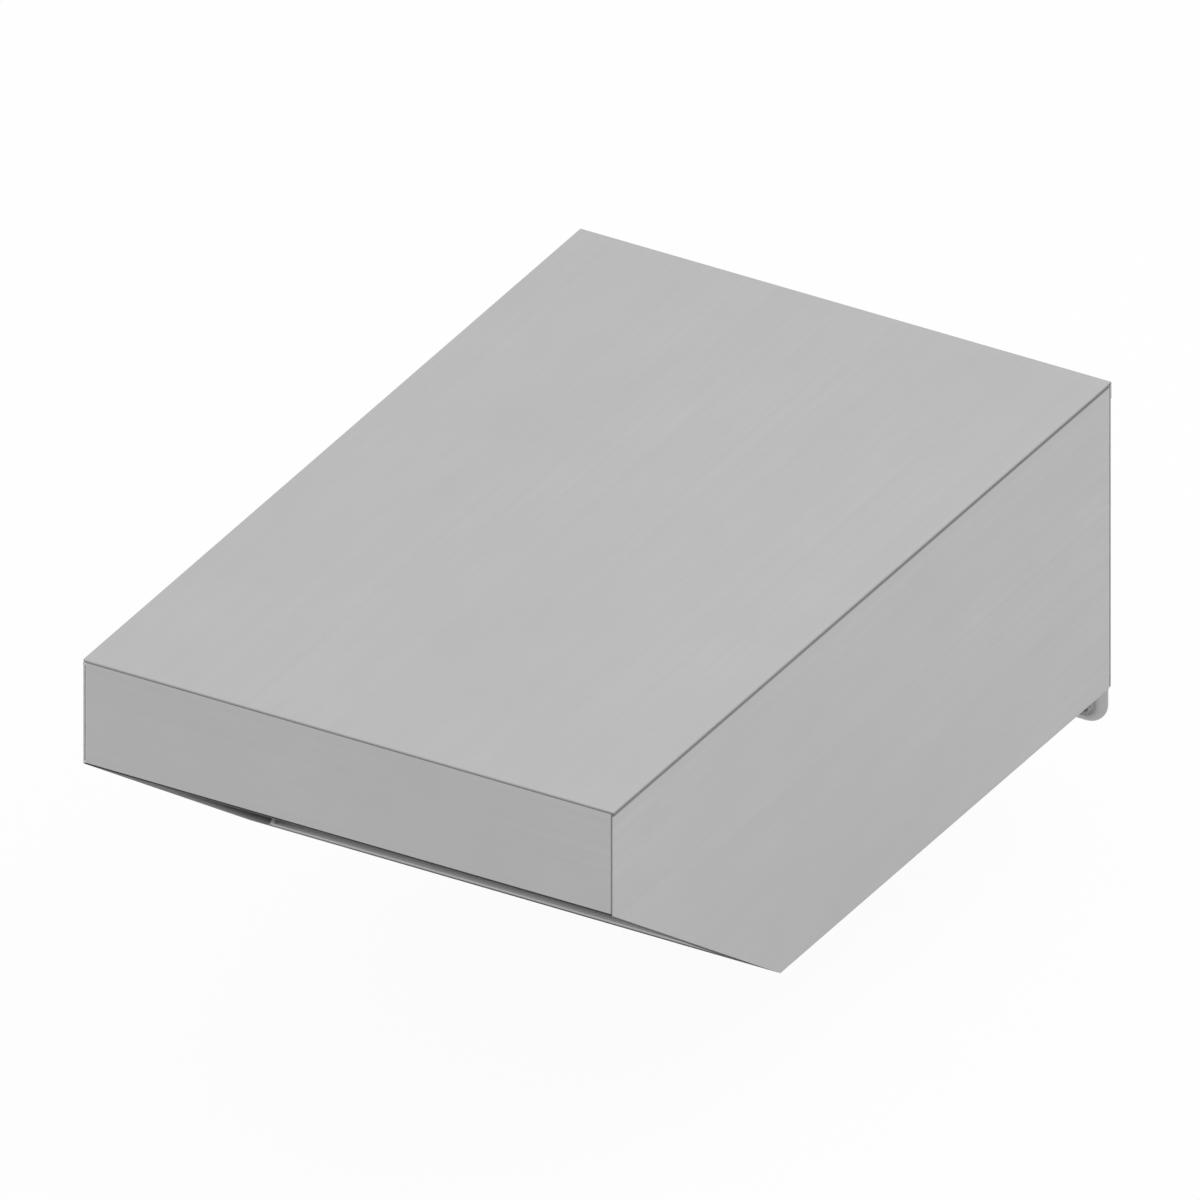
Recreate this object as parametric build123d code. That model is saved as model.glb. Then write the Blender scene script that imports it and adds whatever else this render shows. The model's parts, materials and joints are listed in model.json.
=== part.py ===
from build123d import *
import math
import os

# A condensation hood that stands on a compact combi oven and reaches out over its door.
# Millimetres, +Z up, the front faces -Y. The origin is the middle of the flat base,
# on the underside that rests on the oven.

# Casing
width = 550.0
depth = 895.0
height = 317.0
fascia_height = 108.0
overhang = 300.0
sheet = 1.2
fold = 0.8  # inside radius of a bend
flange = 18.0
touch = 0.3  # room left beside a flange that another sheet laps
gasket_height = 1.6  # soft strip between the lid and the edges that carry it
gasket_width = 12.0
panel_corner = 1.0
stiffener_half = 25.0
stiffener_drop = 14.0
stiffener_foot = 12.0

# Slanted intake with two tilting baffle filters
border = 40.0
front_border = 22.0
opening_corner = 4.0
filter_recess = 24.0
filter_thickness = 20.0
filter_sheet = 1.0
filter_lip = 10.0
filter_corner = 3.0
filter_side_gap = 2.5
filter_end_gap = 4.0
rail_width = 16.0
pivot_inset = 7.0
pivot_radius = 3.0
pivot_tip = 2.5  # how far a pin shows past the wall that carries it
pivot_head = 5.0
pivot_head_height = 1.5
running_fit = 0.05
baffle_count = 5
baffle_face = 28.0
baffle_leg = 11.0
baffle_sheet = 0.8
baffle_fold = 0.6
drip_holes = 6
drip_radius = 2.0
magnet_thickness = 2.0
magnet_length = 24.0
pull_length = 96.0
pull_radius = 3.0
pull_height = 16.0
pull_bend = 6.0

# Air ducts and the condenser between them
side_duct_width = 125.0  # from the side of the casing to the duct's inner wall
duct_front_y = -120.0
duct_seal = 8.0
duct_foot = 15.0
seal_width = 12.0
core_front_y = -112.0
core_length = 180.0
core_plates = 15
core_pitch = 17.0
core_plate = 2.0
core_bar = 6.0
core_seal = 4.0
window_margin = 10.0  # from the edge of the stack to the window that faces it
post_leg = 22.0
post_sheet = 2.0
tray_depth = 16.0
tray_ends = 5.5  # tray beyond each end of the stack
tray_corner = 6.0

# Extraction fan
core_to_bulkhead = 30.0
bulkhead_foot = 14.0
bulkhead_margin = 6.0  # from the eye of the impeller to the edge of the bulkhead's hole
fan_z = 158.0
impeller_lead = 16.0  # from the bulkhead to the front of the impeller
impeller_radius = 110.0
impeller_eye = 76.0
impeller_width = 62.0
impeller_plate = 2.0
impeller_rim_share = 0.62  # the part of the impeller's width that is open at its rim
collar_height = 6.0  # straight neck of the impeller's shroud
collar_flare = 2.0
blade_count = 7
blade_root = 18.0  # from the motor's cup to where a blade starts
blade_sweep = 52.0
blade_bow = 0.72
ring_gap = 1.5
ring_sheet = 1.5
ring_lead = 14.0
ring_reach = 4.0  # how far the bell mouth reaches into the impeller
ring_rim = 16.0
can_radius = 46.0
can_length = 46.0
can_wall = 4.0
can_edge = 3.0
can_tail = 14.0  # from the impeller to the open end of the motor's cup
air_gap = 0.8
shaft_radius = 5.0
shaft_tail = 4.0
bearing_radius = 13.0
bearing_width = 8.0
race_width = 2.5
race_groove = 3.0
groove_depth = 0.8
stator_bore_gap = 2.0
stator_nose = 4.0
stator_slope = 2.0  # length of the winding's slanted edge
stator_shoulder = 8.0
motor_flange = 6.0
motor_flange_rim = 6.0
spider_sheet = 3.0
spider_hub = 10.0
spider_arm = 18.0
spider_boss = 12.0
standoff_radius = 5.0
standoff_offset = 98.0

# Cooling fan, outlets and openings of the rear panel
side_duct_inset = 71.0  # from the side to the middle of the fan, gland and outlet there
axial_size = 92.0
axial_depth = 32.0
axial_bore = 44.0
axial_hub = 20.0
axial_blades = 7
axial_hole_spacing = 82.5
axial_corner = 6.0
axial_web = 5.0
axial_wall = 2.0
axial_strut = 5.0
axial_strut_depth = 3.0
axial_boss = 8.0
axial_boss_depth = 16.0
axial_shaft = 2.5
axial_tip_gap = 1.5
axial_rotor_gap = 5.0
axial_pitch_gap = 2.5  # from the struts to the blades
axial_chord = 26.0
axial_camber = 3.0
axial_pitch = 38.0
axial_blade = 1.6
axial_z = 112.0
outlet_margin = 30.0  # from the duct walls to the edge of the warm outlet
outlet_height = 210.0
cool_outlet_width = 80.0
cool_outlet_height = 190.0
cool_outlet_rise = 14.0
louvre_rim = 12.0
louvre_depth = 14.0
louvre_corner = 4.0
slat_pitch = 21.0
slat_share = 0.62  # the part of the pitch that a slat rises
slat_lip = 3.0
slat_inset = 2.5
guard_bar = 2.4
guard_rings = 4
guard_pitch = 10.0
guard_eye = 4.4

# Electrical box and cable gland
box_height = 74.0
box_length = 150.0
box_reach = 92.0
box_corner = 3.0
box_lip = 8.0
box_y = 150.0
box_z = 236.0
box_entry = 6.0
board_length = 72.0
board_width = 52.0
board_thickness = 1.6
board_margin = 13.0
board_lift = 8.0
pillar_radius = 3.0
pillar_inset = 6.0
relay_size = 16.0
relay_height = 15.4
relay_pitch = 22.0
relay_rise = 26.0
relay_margin_y = 10.0
relay_margin_z = 12.0
terminal_count = 5
terminal_pitch = 10.0
terminal_width = 18.0
terminal_height = 16.0
terminal_screw = 2.2
terminal_mouth = 5.0
terminal_mouth_depth = 6.0
capacitor_radius = 15.0
capacitor_length = 58.0
capacitor_stud = 4.0
capacitor_stud_length = 8.0
capacitor_edge = 1.5
capacitor_gap = 1.0
gland_z = 236.0
gland_bore = 4.5
gland_thread = 8.0
gland_slack = 0.3
gland_tail = 9.0
gland_flange = 12.0
gland_flange_height = 5.0
gland_cap = 10.5
gland_length = 18.0
gland_taper = 4.0
gland_nut = 11.5
gland_nut_height = 4.0

# Steam inlet and drain
inlet_radius = 31.0
inlet_x = 0.0
inlet_y = -208.0
inlet_height = 58.0
inlet_wall = 1.5
inlet_rim = 16.0
inlet_bend = 2.5
inlet_clearance = 1.0
gasket = 2.0
pipe_radius = 8.6
pipe_wall = 1.3
pipe_bend = 24.0
drain_inset = 24.0  # from the right side to the axis of the drain
drain_offset = 20.0  # from the rear panel back to the axis of the drain
drain_drop = 34.7  # from the base down to where the lower bend starts
drain_bend = 10.0
drain_tail = 28.0
drain_z = 13.0
drain_union = 1.5  # from the rear panel to where pipe and elbow meet
drain_nut_radius = 15.0
drain_nut_height = 8.0
drain_nut_chamfer = 1.2
pipe_clearance = 0.4
bolt_radius = 3.5
bolt_inset_x = 45.0
bolt_inset_y = 37.5

# Small screws
screw_radius = 2.0
screw_clearance = 0.2
screw_head = 3.9
screw_head_height = 2.4
screw_length = 8.0
lid_screw_share = 0.2  # of the width, from one lid screw to the next
panel_screw_low = 0.1  # of the height, from the base to the lowest panel screws
panel_screw_share = 0.26  # of the height, from one panel screw to the next

# Places that follow from the sizes above
side_x = width / 2
inner_x = side_x - sheet
base_depth = depth - overhang
rear_y = base_depth / 2
slant_y = -base_depth / 2
front_y = slant_y - overhang
slant_rise = height - fascia_height
slant_length = math.hypot(overhang, slant_rise)
slope = math.atan2(slant_rise, overhang)
lid_z = height - sheet
rest_z = lid_z - gasket_height  # top of the edges that carry the lid's gasket
duct_half_width = side_x - side_duct_width
side_duct_x = side_x - side_duct_inset
outlet_width = 2 * (duct_half_width - outlet_margin)
panel_y = rear_y - sheet  # outer face of the rear panel, under the lid's rear flange
rim_y = panel_y - sheet  # inner face of the rear panel
outer_fold = fold + sheet

# On the slant, v runs up towards the front and w runs outwards from the metal's outer face.
up_slope = Vector(0, -math.cos(slope), math.sin(slope))
outwards = Vector(0, -math.sin(slope), -math.cos(slope))
slant_foot = Vector(0, slant_y, 0)
slant = Plane(origin=slant_foot, x_dir=(1, 0, 0), z_dir=outwards)
slant_side = Plane(origin=slant_foot, x_dir=up_slope, z_dir=(1, 0, 0))

open_x = side_x - border
open_low = border
open_high = slant_length - front_border
recess_depth = filter_recess + filter_thickness + magnet_thickness
filter_low = open_low + filter_end_gap
filter_high = open_high - filter_end_gap
filter_length = filter_high - filter_low
filter_width = open_x - rail_width / 2 - 2 * filter_side_gap
filter_x = (open_x + rail_width / 2) / 2
filter_v = (filter_low + filter_high) / 2
filter_w = -filter_recess - filter_thickness / 2
pivot_v = filter_high - pivot_inset
pivot_w = -filter_recess - pivot_inset

base_bolt_x = side_x - bolt_inset_x
base_bolt_y = base_depth / 2 - bolt_inset_y
duct_top_z = lid_z - duct_seal
core_bottom_z = drain_z + pipe_radius + pipe_clearance
core_height = (core_plates - 1) * core_pitch + core_plate
core_top_z = core_bottom_z + core_height
core_half_width = duct_half_width - core_seal
core_y = core_front_y + core_length / 2
drain_x = side_x - drain_inset
drain_y = panel_y + drain_offset
tray_y = core_y

bulkhead_y = core_front_y + core_length + core_to_bulkhead
impeller_front_y = bulkhead_y + impeller_lead
impeller_back_y = impeller_front_y + impeller_width
can_back_y = impeller_back_y + can_tail
can_front_y = can_back_y - can_length
stator_front_y = can_front_y + can_wall + stator_nose
stator_y = can_back_y + air_gap
spider_y = stator_y + motor_flange
axial_front_y = rim_y - axial_depth

box_floor_x = -inner_x + sheet
capacitor_y = box_y + box_length / 2 - sheet - capacitor_gap - capacitor_radius
terminal_y = capacitor_y - capacitor_radius - capacitor_gap - terminal_width / 2
board_y = box_y - box_length / 2 + board_margin


def folded(points, metal=sheet, inside=fold):
    """Section of a folded strip: the points run along one face, the metal lies to their left."""
    radii = []
    for before, corner, after in zip(points, points[1:], points[2:]):
        ahead = (corner[0] - before[0], corner[1] - before[1])
        beyond = (after[0] - corner[0], after[1] - corner[1])
        turns_left = ahead[0] * beyond[1] - ahead[1] * beyond[0] > 0
        radii.append(inside + metal if turns_left else inside)
    face_line = FilletPolyline(*points, radius=radii)
    return make_face(offset(face_line, metal, side=Side.LEFT, closed=True))


def block(low, high):
    """Box between two corners."""
    size = [b - a for a, b in zip(low, high)]
    middle = [(a + b) / 2 for a, b in zip(low, high)]
    return Pos(*middle) * Box(*size)


def drilled(radius, x, z, y_low, y_high):
    """Round bar along Y, used as a pin or to cut a hole."""
    length = y_high - y_low
    return Pos(x, (y_low + y_high) / 2, z) * Rot(90, 0, 0) * Cylinder(radius, length)


def upright(radius, x, y, z_low, z_high):
    """Round bar along Z, used as a pin or to cut a hole."""
    return Pos(x, y, (z_low + z_high) / 2) * Cylinder(radius, z_high - z_low)


def crosswise(radius, x_low, x_high, y, z):
    """Round bar along X."""
    return Pos((x_low + x_high) / 2, y, z) * Rot(0, 90, 0) * Cylinder(radius, x_high - x_low)


def turned(points, axis_y=0.0, x=0.0, z=0.0):
    """Ring or disc about an axis along Y, from points of radius and distance along Y."""
    section = Plane.XY * make_face(Polyline(*points, close=True))
    return Pos(x, axis_y, z) * revolve(section, Axis.Y)


def together(pieces):
    """Several separate solids in one node."""
    solids = []
    for piece in pieces:
        solids.extend(piece.solids())
    return Compound(solids)


def fused(pieces):
    """One solid from several that meet."""
    whole = pieces[0]
    for piece in pieces[1:]:
        whole = whole + piece
    return whole


def on_slant(v, w):
    """World Y and Z of a point of the slant's side view."""
    point = slant_foot + up_slope * v + outwards * w
    return (point.Y, point.Z)


# Screws that hold the rear panel and the lid, as places on the rear of the casing
panel_screw_x = side_x - flange / 2
panel_screw_z = [height * (panel_screw_low + number * panel_screw_share) for number in range(4)]
panel_screws = [(side * panel_screw_x, z) for side in (-1, 1) for z in panel_screw_z]
lid_screw_z = height - flange / 2
lid_screws = [(number * lid_screw_share * width, lid_screw_z) for number in range(-2, 3)]


def screw_holes(places, y_low, y_high):
    """Clearance holes along Y."""
    bore = screw_radius + screw_clearance
    return fused([drilled(bore, x, z, y_low, y_high) for x, z in places])


def drain_hole():
    """Cut for the drain pipe through the rear of the casing."""
    return drilled(pipe_radius + pipe_clearance, drain_x, drain_z, rim_y - flange, panel_y + sheet)


def side_panel():
    """Right side of the casing: five-sided plate with a top and a rear flange."""
    plate_top = rest_z - outer_fold
    plate_rear = rim_y - outer_fold
    outline = [
        (plate_rear, 0),
        (plate_rear, plate_top),
        (front_y, plate_top),
        (front_y, slant_rise),
        (slant_y, 0),
    ]
    plate = Plane.YZ.offset(inner_x) * make_face(Polyline(*outline, close=True))
    panel = extrude(plate, sheet)
    edge = 2 * outer_fold
    top = folded([(side_x, rest_z - edge), (side_x, rest_z), (side_x - flange, rest_z)])
    top_front = front_y + sheet + touch
    panel += extrude(Plane.XZ.offset(-plate_rear) * top, plate_rear - top_front)
    panel += block((inner_x, front_y, plate_top), (side_x, top_front, rest_z))
    rear = folded([(side_x, rim_y - edge), (side_x, rim_y), (side_x - flange, rim_y)])
    rear_low = sheet + touch
    panel += extrude(Plane.XY.offset(rear_low) * rear, plate_top - rear_low)
    holes = [place for place in panel_screws if place[0] > 0]
    return panel - screw_holes(holes, rim_y - 3 * sheet, rim_y + sheet) - drain_hole()


def top_lid():
    """Flat lid over the whole casing, with a rear flange that the lid screws hold."""
    section = folded([(rear_y, height - flange), (rear_y, height), (front_y, height)])
    lid = extrude(Plane.YZ * section, side_x, both=True)
    return lid - screw_holes(lid_screws, rear_y - 2 * sheet, rear_y + sheet)


def lid_gasket():
    """Soft strip along the sides and the front, on which the lid lies."""
    rear = rim_y - outer_fold
    outer_x = side_x - touch
    outer_y = front_y + touch
    strip = block((-outer_x, outer_y, rest_z), (outer_x, rear, lid_z))
    inner_edge = outer_x - gasket_width
    return strip - block(
        (-inner_edge, outer_y + gasket_width, rest_z - sheet), (inner_edge, rear + sheet, lid_z + sheet)
    )


def lid_stiffener():
    """Hat channel welded under the front half of the lid."""
    middle_y = (front_y + duct_front_y) / 2
    brim = stiffener_half + stiffener_foot
    points = [
        (middle_y - brim, lid_z - sheet),
        (middle_y - stiffener_half, lid_z - sheet),
        (middle_y - stiffener_half, lid_z - stiffener_drop),
        (middle_y + stiffener_half, lid_z - stiffener_drop),
        (middle_y + stiffener_half, lid_z - sheet),
        (middle_y + brim, lid_z - sheet),
    ]
    reach = inner_x - flange - 3 * sheet
    return extrude(Plane.YZ * folded(points), reach, both=True)


def fascia():
    """Short front panel, folded under the lid, behind the slant and along both sides."""
    foot_z = slant_rise + sheet / math.cos(slope)
    upright_section = folded(
        [
            (front_y + flange, rest_z),
            (front_y, rest_z),
            (front_y, foot_z),
            on_slant(slant_length - flange, -sheet),
        ]
    )
    reach = inner_x - flange - touch
    panel = extrude(Plane.YZ * upright_section, reach, both=True)
    plan = folded(
        [
            (-inner_x, front_y + flange),
            (-inner_x, front_y),
            (inner_x, front_y),
            (inner_x, front_y + flange),
        ]
    )
    low = foot_z + outer_fold
    high = rest_z - outer_fold - touch
    panel += extrude(Plane.XY.offset(low) * plan, high - low)
    face_x = inner_x - outer_fold
    panel += block((-face_x, front_y, foot_z), (face_x, front_y + sheet, rest_z))
    for end_low, end_high in ((foot_z, low), (high, rest_z)):
        panel += block((-inner_x, front_y, end_low), (inner_x, front_y + sheet, end_high))
    return panel


def base_pan():
    """Floor of the casing: flat seat, folded up at the sides and rear and along the slant."""
    nose = (slant_y + sheet / math.sin(slope), 0)
    section = folded([on_slant(flange, -sheet), nose, (rim_y, 0), (rim_y, flange)])
    reach = inner_x - flange - touch
    pan = extrude(Plane.YZ * section, reach, both=True)
    across = folded([(-inner_x, flange), (-inner_x, 0), (inner_x, 0), (inner_x, flange)])
    rear_end = rim_y - sheet - fold - touch
    front_end = nose[0] + outer_fold
    pan += extrude(Plane.XZ.offset(-rear_end) * across, rear_end - front_end)
    for low_x, high_x in ((-inner_x, -reach), (reach, inner_x)):
        pan += block((low_x, nose[0] + touch, 0), (high_x, front_end, sheet))
    for x in (-base_bolt_x, base_bolt_x):
        for y in (-base_bolt_y, base_bolt_y):
            pan -= upright(bolt_radius, x, y, -sheet, 2 * sheet)
    inlet = upright(inlet_radius + inlet_clearance, inlet_x, inlet_y, -sheet, 2 * sheet)
    return pan - inlet - drain_hole()


def intake_frame():
    """Slanted sheet under the overhang, folded inwards round the opening for the filters."""
    from_foot = (Align.CENTER, Align.MIN)
    flanged_width = 2 * (inner_x - outer_fold)
    outline = Rectangle(flanged_width, slant_length, align=from_foot)
    outline += Rectangle(2 * inner_x, open_low, align=from_foot)
    outline += Pos(0, open_high) * Rectangle(2 * inner_x, slant_length - open_high, align=from_foot)
    open_size = (2 * open_x, open_high - open_low)
    middle_v = (open_low + open_high) / 2
    hole = Pos(0, middle_v) * RectangleRounded(*open_size, opening_corner)
    around = Pos(0, middle_v) * RectangleRounded(
        open_size[0] + 2 * sheet, open_size[1] + 2 * sheet, opening_corner + sheet
    )
    frame = extrude(outline - hole, -sheet)
    frame += extrude(around - hole, -recess_depth)
    rim = frame.faces().sort_by(Axis.Z)[-1].inner_wires()[0].edges()
    frame = fillet(rim, outer_fold)
    ledge_v = filter_low + filter_lip
    frame += block(
        (-open_x - sheet, open_low - sheet, -recess_depth - sheet),
        (open_x + sheet, ledge_v, -recess_depth),
    )
    frame = slant.location * frame
    side = folded([(inner_x, -flange), (inner_x, 0), (inner_x - 2 * outer_fold, 0)])
    right = extrude(slant_across(middle_v) * side, open_size[1] / 2, both=True)
    frame += right
    frame += mirror(right, about=Plane.YZ)
    y, z = on_slant(pivot_v, pivot_w)
    reach = open_x + 2 * sheet
    return frame - crosswise(pivot_radius + running_fit, -reach, reach, y, z)


def slant_across(v):
    """Plane square to the slope at distance v, with X across and w outwards."""
    return Plane(origin=slant_foot + up_slope * v, x_dir=(1, 0, 0), z_dir=up_slope * -1)


def centre_rail():
    """Channel between the two filters."""
    half = rail_width / 2
    face = -filter_recess
    points = [(half, -recess_depth), (half, face), (-half, face), (-half, -recess_depth)]
    middle_v = (open_low + open_high) / 2
    rail = extrude(slant_across(middle_v) * folded(points), (open_high - open_low) / 2, both=True)
    ledge = block(
        (-half - sheet, open_low - sheet, -recess_depth - sheet),
        (half + sheet, filter_low + filter_lip + sheet, -recess_depth + fold),
    )
    rail -= slant.location * ledge
    y, z = on_slant(pivot_v, pivot_w)
    return rail - crosswise(pivot_radius + running_fit, -rail_width, rail_width, y, z)


def filter_frame(side):
    """Channel frame round one filter's baffles, with drip holes along its lower edge."""
    middle = Pos(side * filter_x, filter_v, filter_w)
    outer = Box(filter_width, filter_length, filter_thickness)
    outer = fillet(outer.edges().filter_by(Axis.Z), filter_corner)
    window = Box(filter_width - 2 * filter_lip, filter_length - 2 * filter_lip, 2 * filter_thickness)
    groove = Box(
        filter_width - 2 * filter_sheet,
        filter_length - 2 * filter_sheet,
        filter_thickness - 2 * filter_sheet,
    )
    frame = outer - window - groove
    spacing = filter_width / drip_holes
    for number in range(drip_holes):
        x = (number - (drip_holes - 1) / 2) * spacing
        hole = Rot(90, 0, 0) * Cylinder(drip_radius, 4 * filter_sheet)
        frame -= Pos(x, -filter_length / 2, 0) * hole
    frame = slant.location * middle * frame
    y, z = on_slant(pivot_v, pivot_w)
    reach = filter_width
    return frame - crosswise(pivot_radius, side * filter_x - reach, side * filter_x + reach, y, z)


def filter_baffles(side):
    """Two rows of channels that face each other and overlap, so that air turns twice."""
    room = filter_width - 2 * filter_sheet
    pitch = room / baffle_count
    half = baffle_face / 2
    front = -filter_recess - filter_sheet
    back = -filter_recess - filter_thickness + filter_sheet
    channels = []
    for number in range(baffle_count):
        x = side * filter_x + (number - (baffle_count - 1) / 2) * pitch
        outline = [
            (x + half, front - baffle_leg),
            (x + half, front),
            (x - half, front),
            (x - half, front - baffle_leg),
        ]
        channels.append(folded(outline, baffle_sheet, baffle_fold))
    for number in range(baffle_count - 1):
        x = side * filter_x + (number - (baffle_count - 2) / 2) * pitch
        outline = [
            (x - half, back + baffle_leg),
            (x - half, back),
            (x + half, back),
            (x + half, back + baffle_leg),
        ]
        channels.append(folded(outline, baffle_sheet, baffle_fold))
    length = filter_length - 2 * filter_sheet
    across = slant_across(filter_v)
    return together([extrude(across * channel, length / 2, both=True) for channel in channels])


def filter_pull(side):
    """Bow handle on the lower lip of a filter, within the recess."""
    lip_v = filter_low + filter_lip / 2
    foot_w = -filter_recess
    top_w = foot_w + pull_height - pull_radius
    left = side * filter_x - pull_length / 2
    right = side * filter_x + pull_length / 2
    corners = [(left, foot_w), (left, top_w), (right, top_w), (right, foot_w)]
    route = slant_across(lip_v) * FilletPolyline(*corners, radius=pull_bend)
    start = Plane(origin=route @ 0, z_dir=route % 0)
    return sweep(start * Circle(pull_radius), path=route)


def filter_pivots(side):
    """Two headed pins on which a filter tilts."""
    y, z = on_slant(pivot_v, pivot_w)
    pins = []
    for end in (-1, 1):
        wall = side * filter_x + end * (filter_width / 2 - filter_sheet)
        tip = wall + end * (filter_sheet + filter_side_gap + sheet + pivot_tip)
        low, high = sorted((wall, tip))
        shank = crosswise(pivot_radius, low, high, y, z)
        low, high = sorted((wall - end * pivot_head_height, wall))
        pins.append(shank + crosswise(pivot_head, low, high, y, z))
    return together(pins)


def filter_magnets():
    """Magnets on the ledge that hold the lower edge of each filter."""
    half = magnet_length / 2
    spread = filter_width / 4
    magnets = []
    for x in (-filter_x - spread, -filter_x + spread, filter_x - spread, filter_x + spread):
        magnet = block(
            (x - half, filter_low + fold, -recess_depth),
            (x + half, filter_low + filter_lip - fold, -recess_depth + magnet_thickness),
        )
        magnets.append(slant.location * magnet)
    return together(magnets)


def duct_wall(side):
    """Wall of a side duct: folded in plan to close the duct's front, with foot and top flanges."""
    plan = folded(
        [
            (duct_half_width, rim_y - touch),
            (duct_half_width, duct_front_y),
            (inner_x, duct_front_y),
        ]
    )
    wall = extrude(Plane.XY.offset(sheet + flange) * plan, duct_top_z - sheet - flange)
    lower = folded(
        [
            (duct_half_width, rim_y - outer_fold - touch),
            (duct_half_width, duct_front_y),
            (inner_x - sheet - outer_fold, duct_front_y),
        ]
    )
    wall += extrude(Plane.XY.offset(sheet) * lower, flange)
    section = folded(
        [
            (duct_half_width + duct_foot, duct_top_z),
            (duct_half_width, duct_top_z),
            (duct_half_width, sheet),
            (duct_half_width + duct_foot, sheet),
        ]
    )
    run_low = duct_front_y + 2 * outer_fold
    run_high = rim_y - sheet - flange
    wall += extrude(Plane.XZ.offset(-run_high) * section, run_high - run_low)
    window_rear = core_front_y + core_length - window_margin
    wall -= block(
        (duct_half_width - sheet, core_front_y + window_margin, core_bottom_z + window_margin),
        (duct_half_width + 2 * sheet, window_rear, core_top_z - window_margin),
    )
    if side < 0:
        return mirror(wall, about=Plane.YZ)
    hole = pipe_radius + pipe_clearance
    far_side = duct_half_width + 3 * sheet
    return wall - crosswise(hole, duct_half_width - sheet, far_side, tray_y, drain_z)


def lid_seals():
    """Foam strips between the ducts, the bulkhead and the lid."""
    strips = []
    run_low = duct_front_y + 2 * outer_fold
    run_high = rim_y - sheet - flange
    near = duct_half_width + outer_fold
    for side in (-1, 1):
        low, high = sorted((side * near, side * (near + seal_width)))
        strips.append(block((low, run_low, duct_top_z), (high, run_high, lid_z)))
    reach = duct_half_width - touch
    rear = bulkhead_y - sheet
    strips.append(block((-reach, rear - seal_width, duct_top_z), (reach, rear, lid_z)))
    return together(strips)


def corner_angle(x, y, leg, thickness, low_z, high_z):
    """Upright angle whose outer corner stands at x and y and whose legs point to the stack's middle."""
    inward_x = -1 if x > 0 else 1
    inward_y = 1 if y < core_y else -1
    legs = []
    for reach_x, reach_y in ((thickness, leg), (leg, thickness)):
        low_x, high_x = sorted((x, x + inward_x * reach_x))
        low_y, high_y = sorted((y, y + inward_y * reach_y))
        legs.append(block((low_x, low_y, low_z), (high_x, high_y, high_z)))
    return legs[0] + legs[1]


def core_corners():
    """X and Y of the four corners of the stack."""
    rear = core_front_y + core_length
    return [(x, y) for x in (-core_half_width, core_half_width) for y in (core_front_y, rear)]


def condenser_plates():
    """Cross-flow stack: moist air runs front to rear, cooling air from side to side."""
    rear = core_front_y + core_length
    corners = fused(
        [corner_angle(x, y, post_leg, post_sheet, core_bottom_z, core_top_z) for x, y in core_corners()]
    )
    plates = []
    bars = []
    for number in range(core_plates):
        low = core_bottom_z + number * core_pitch
        top = low + core_plate
        plates.append(block((-core_half_width, core_front_y, low), (core_half_width, rear, top)))
        if number == core_plates - 1:
            break
        bar_top = low + core_pitch
        if number % 2:
            for y in (core_front_y, rear - core_bar):
                ends = (-core_half_width, y, top), (core_half_width, y + core_bar, bar_top)
                bars.append(block(*ends))
        else:
            for x in (-core_half_width, core_half_width - core_bar):
                ends = (x, core_front_y, top), (x + core_bar, rear, bar_top)
                bars.append(block(*ends))
    return together([layer - corners for layer in plates + bars])


def condenser_posts():
    """Angle posts that clasp the stack's corners and stand in the tray."""
    foot = 2 * sheet
    return together(
        [corner_angle(x, y, post_leg, post_sheet, foot, core_top_z) for x, y in core_corners()]
    )


def core_seals():
    """Foam frames between the stack and the windows of the duct walls."""
    rear = core_front_y + core_length
    frames = []
    for side in (-1, 1):
        near, far = sorted((side * core_half_width, side * duct_half_width))
        ring = block((near, core_front_y, core_bottom_z), (far, rear, core_top_z))
        ring -= block(
            (near - sheet, core_front_y + window_margin, core_bottom_z + window_margin),
            (far + sheet, rear - window_margin, core_top_z - window_margin),
        )
        frames.append(ring)
    return together(frames)


def bypass_plate():
    """Angle on top of the stack that stops moist air from passing over it."""
    section = folded(
        [
            (core_front_y, lid_z - duct_seal / 2),
            (core_front_y, core_top_z),
            (core_front_y + core_length, core_top_z),
        ]
    )
    return extrude(Plane.YZ * section, duct_half_width - touch, both=True)


def condensate_tray():
    """Shallow tray under the stack, with a spout on the right for the drain pipe."""
    reach = duct_half_width - touch
    front = core_front_y - tray_ends
    rear = core_front_y + core_length + tray_ends
    low, high = sheet, sheet + tray_depth
    tray = block((-reach, front, low), (reach, rear, high))
    tray = fillet(tray.edges().filter_by(Axis.Z), tray_corner)
    inner_reach = reach - sheet
    tray -= block(
        (-inner_reach, front + sheet, low + sheet), (inner_reach, rear - sheet, high + sheet)
    )
    bore = pipe_radius - pipe_wall
    return tray - crosswise(bore, reach - 3 * sheet, reach + sheet, tray_y, drain_z)


def bulkhead():
    """Fan wall across the main duct, with foot and head flanges."""
    section = folded(
        [
            (bulkhead_y - bulkhead_foot, sheet),
            (bulkhead_y, sheet),
            (bulkhead_y, duct_top_z),
            (bulkhead_y - bulkhead_foot, duct_top_z),
        ]
    )
    wall = extrude(Plane.YZ * section, duct_half_width - touch, both=True)
    low, high = bulkhead_y - 2 * sheet, bulkhead_y + sheet
    wall -= drilled(impeller_eye + bulkhead_margin, 0, fan_z, low, high)
    for x, z in standoff_places():
        wall -= drilled(screw_radius + screw_clearance, x, z, low, high)
    return wall


def standoff_places():
    """X and Z of the four rods that carry the motor."""
    ends = (-standoff_offset, standoff_offset)
    return [(x, fan_z + z) for x in ends for z in ends]


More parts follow.
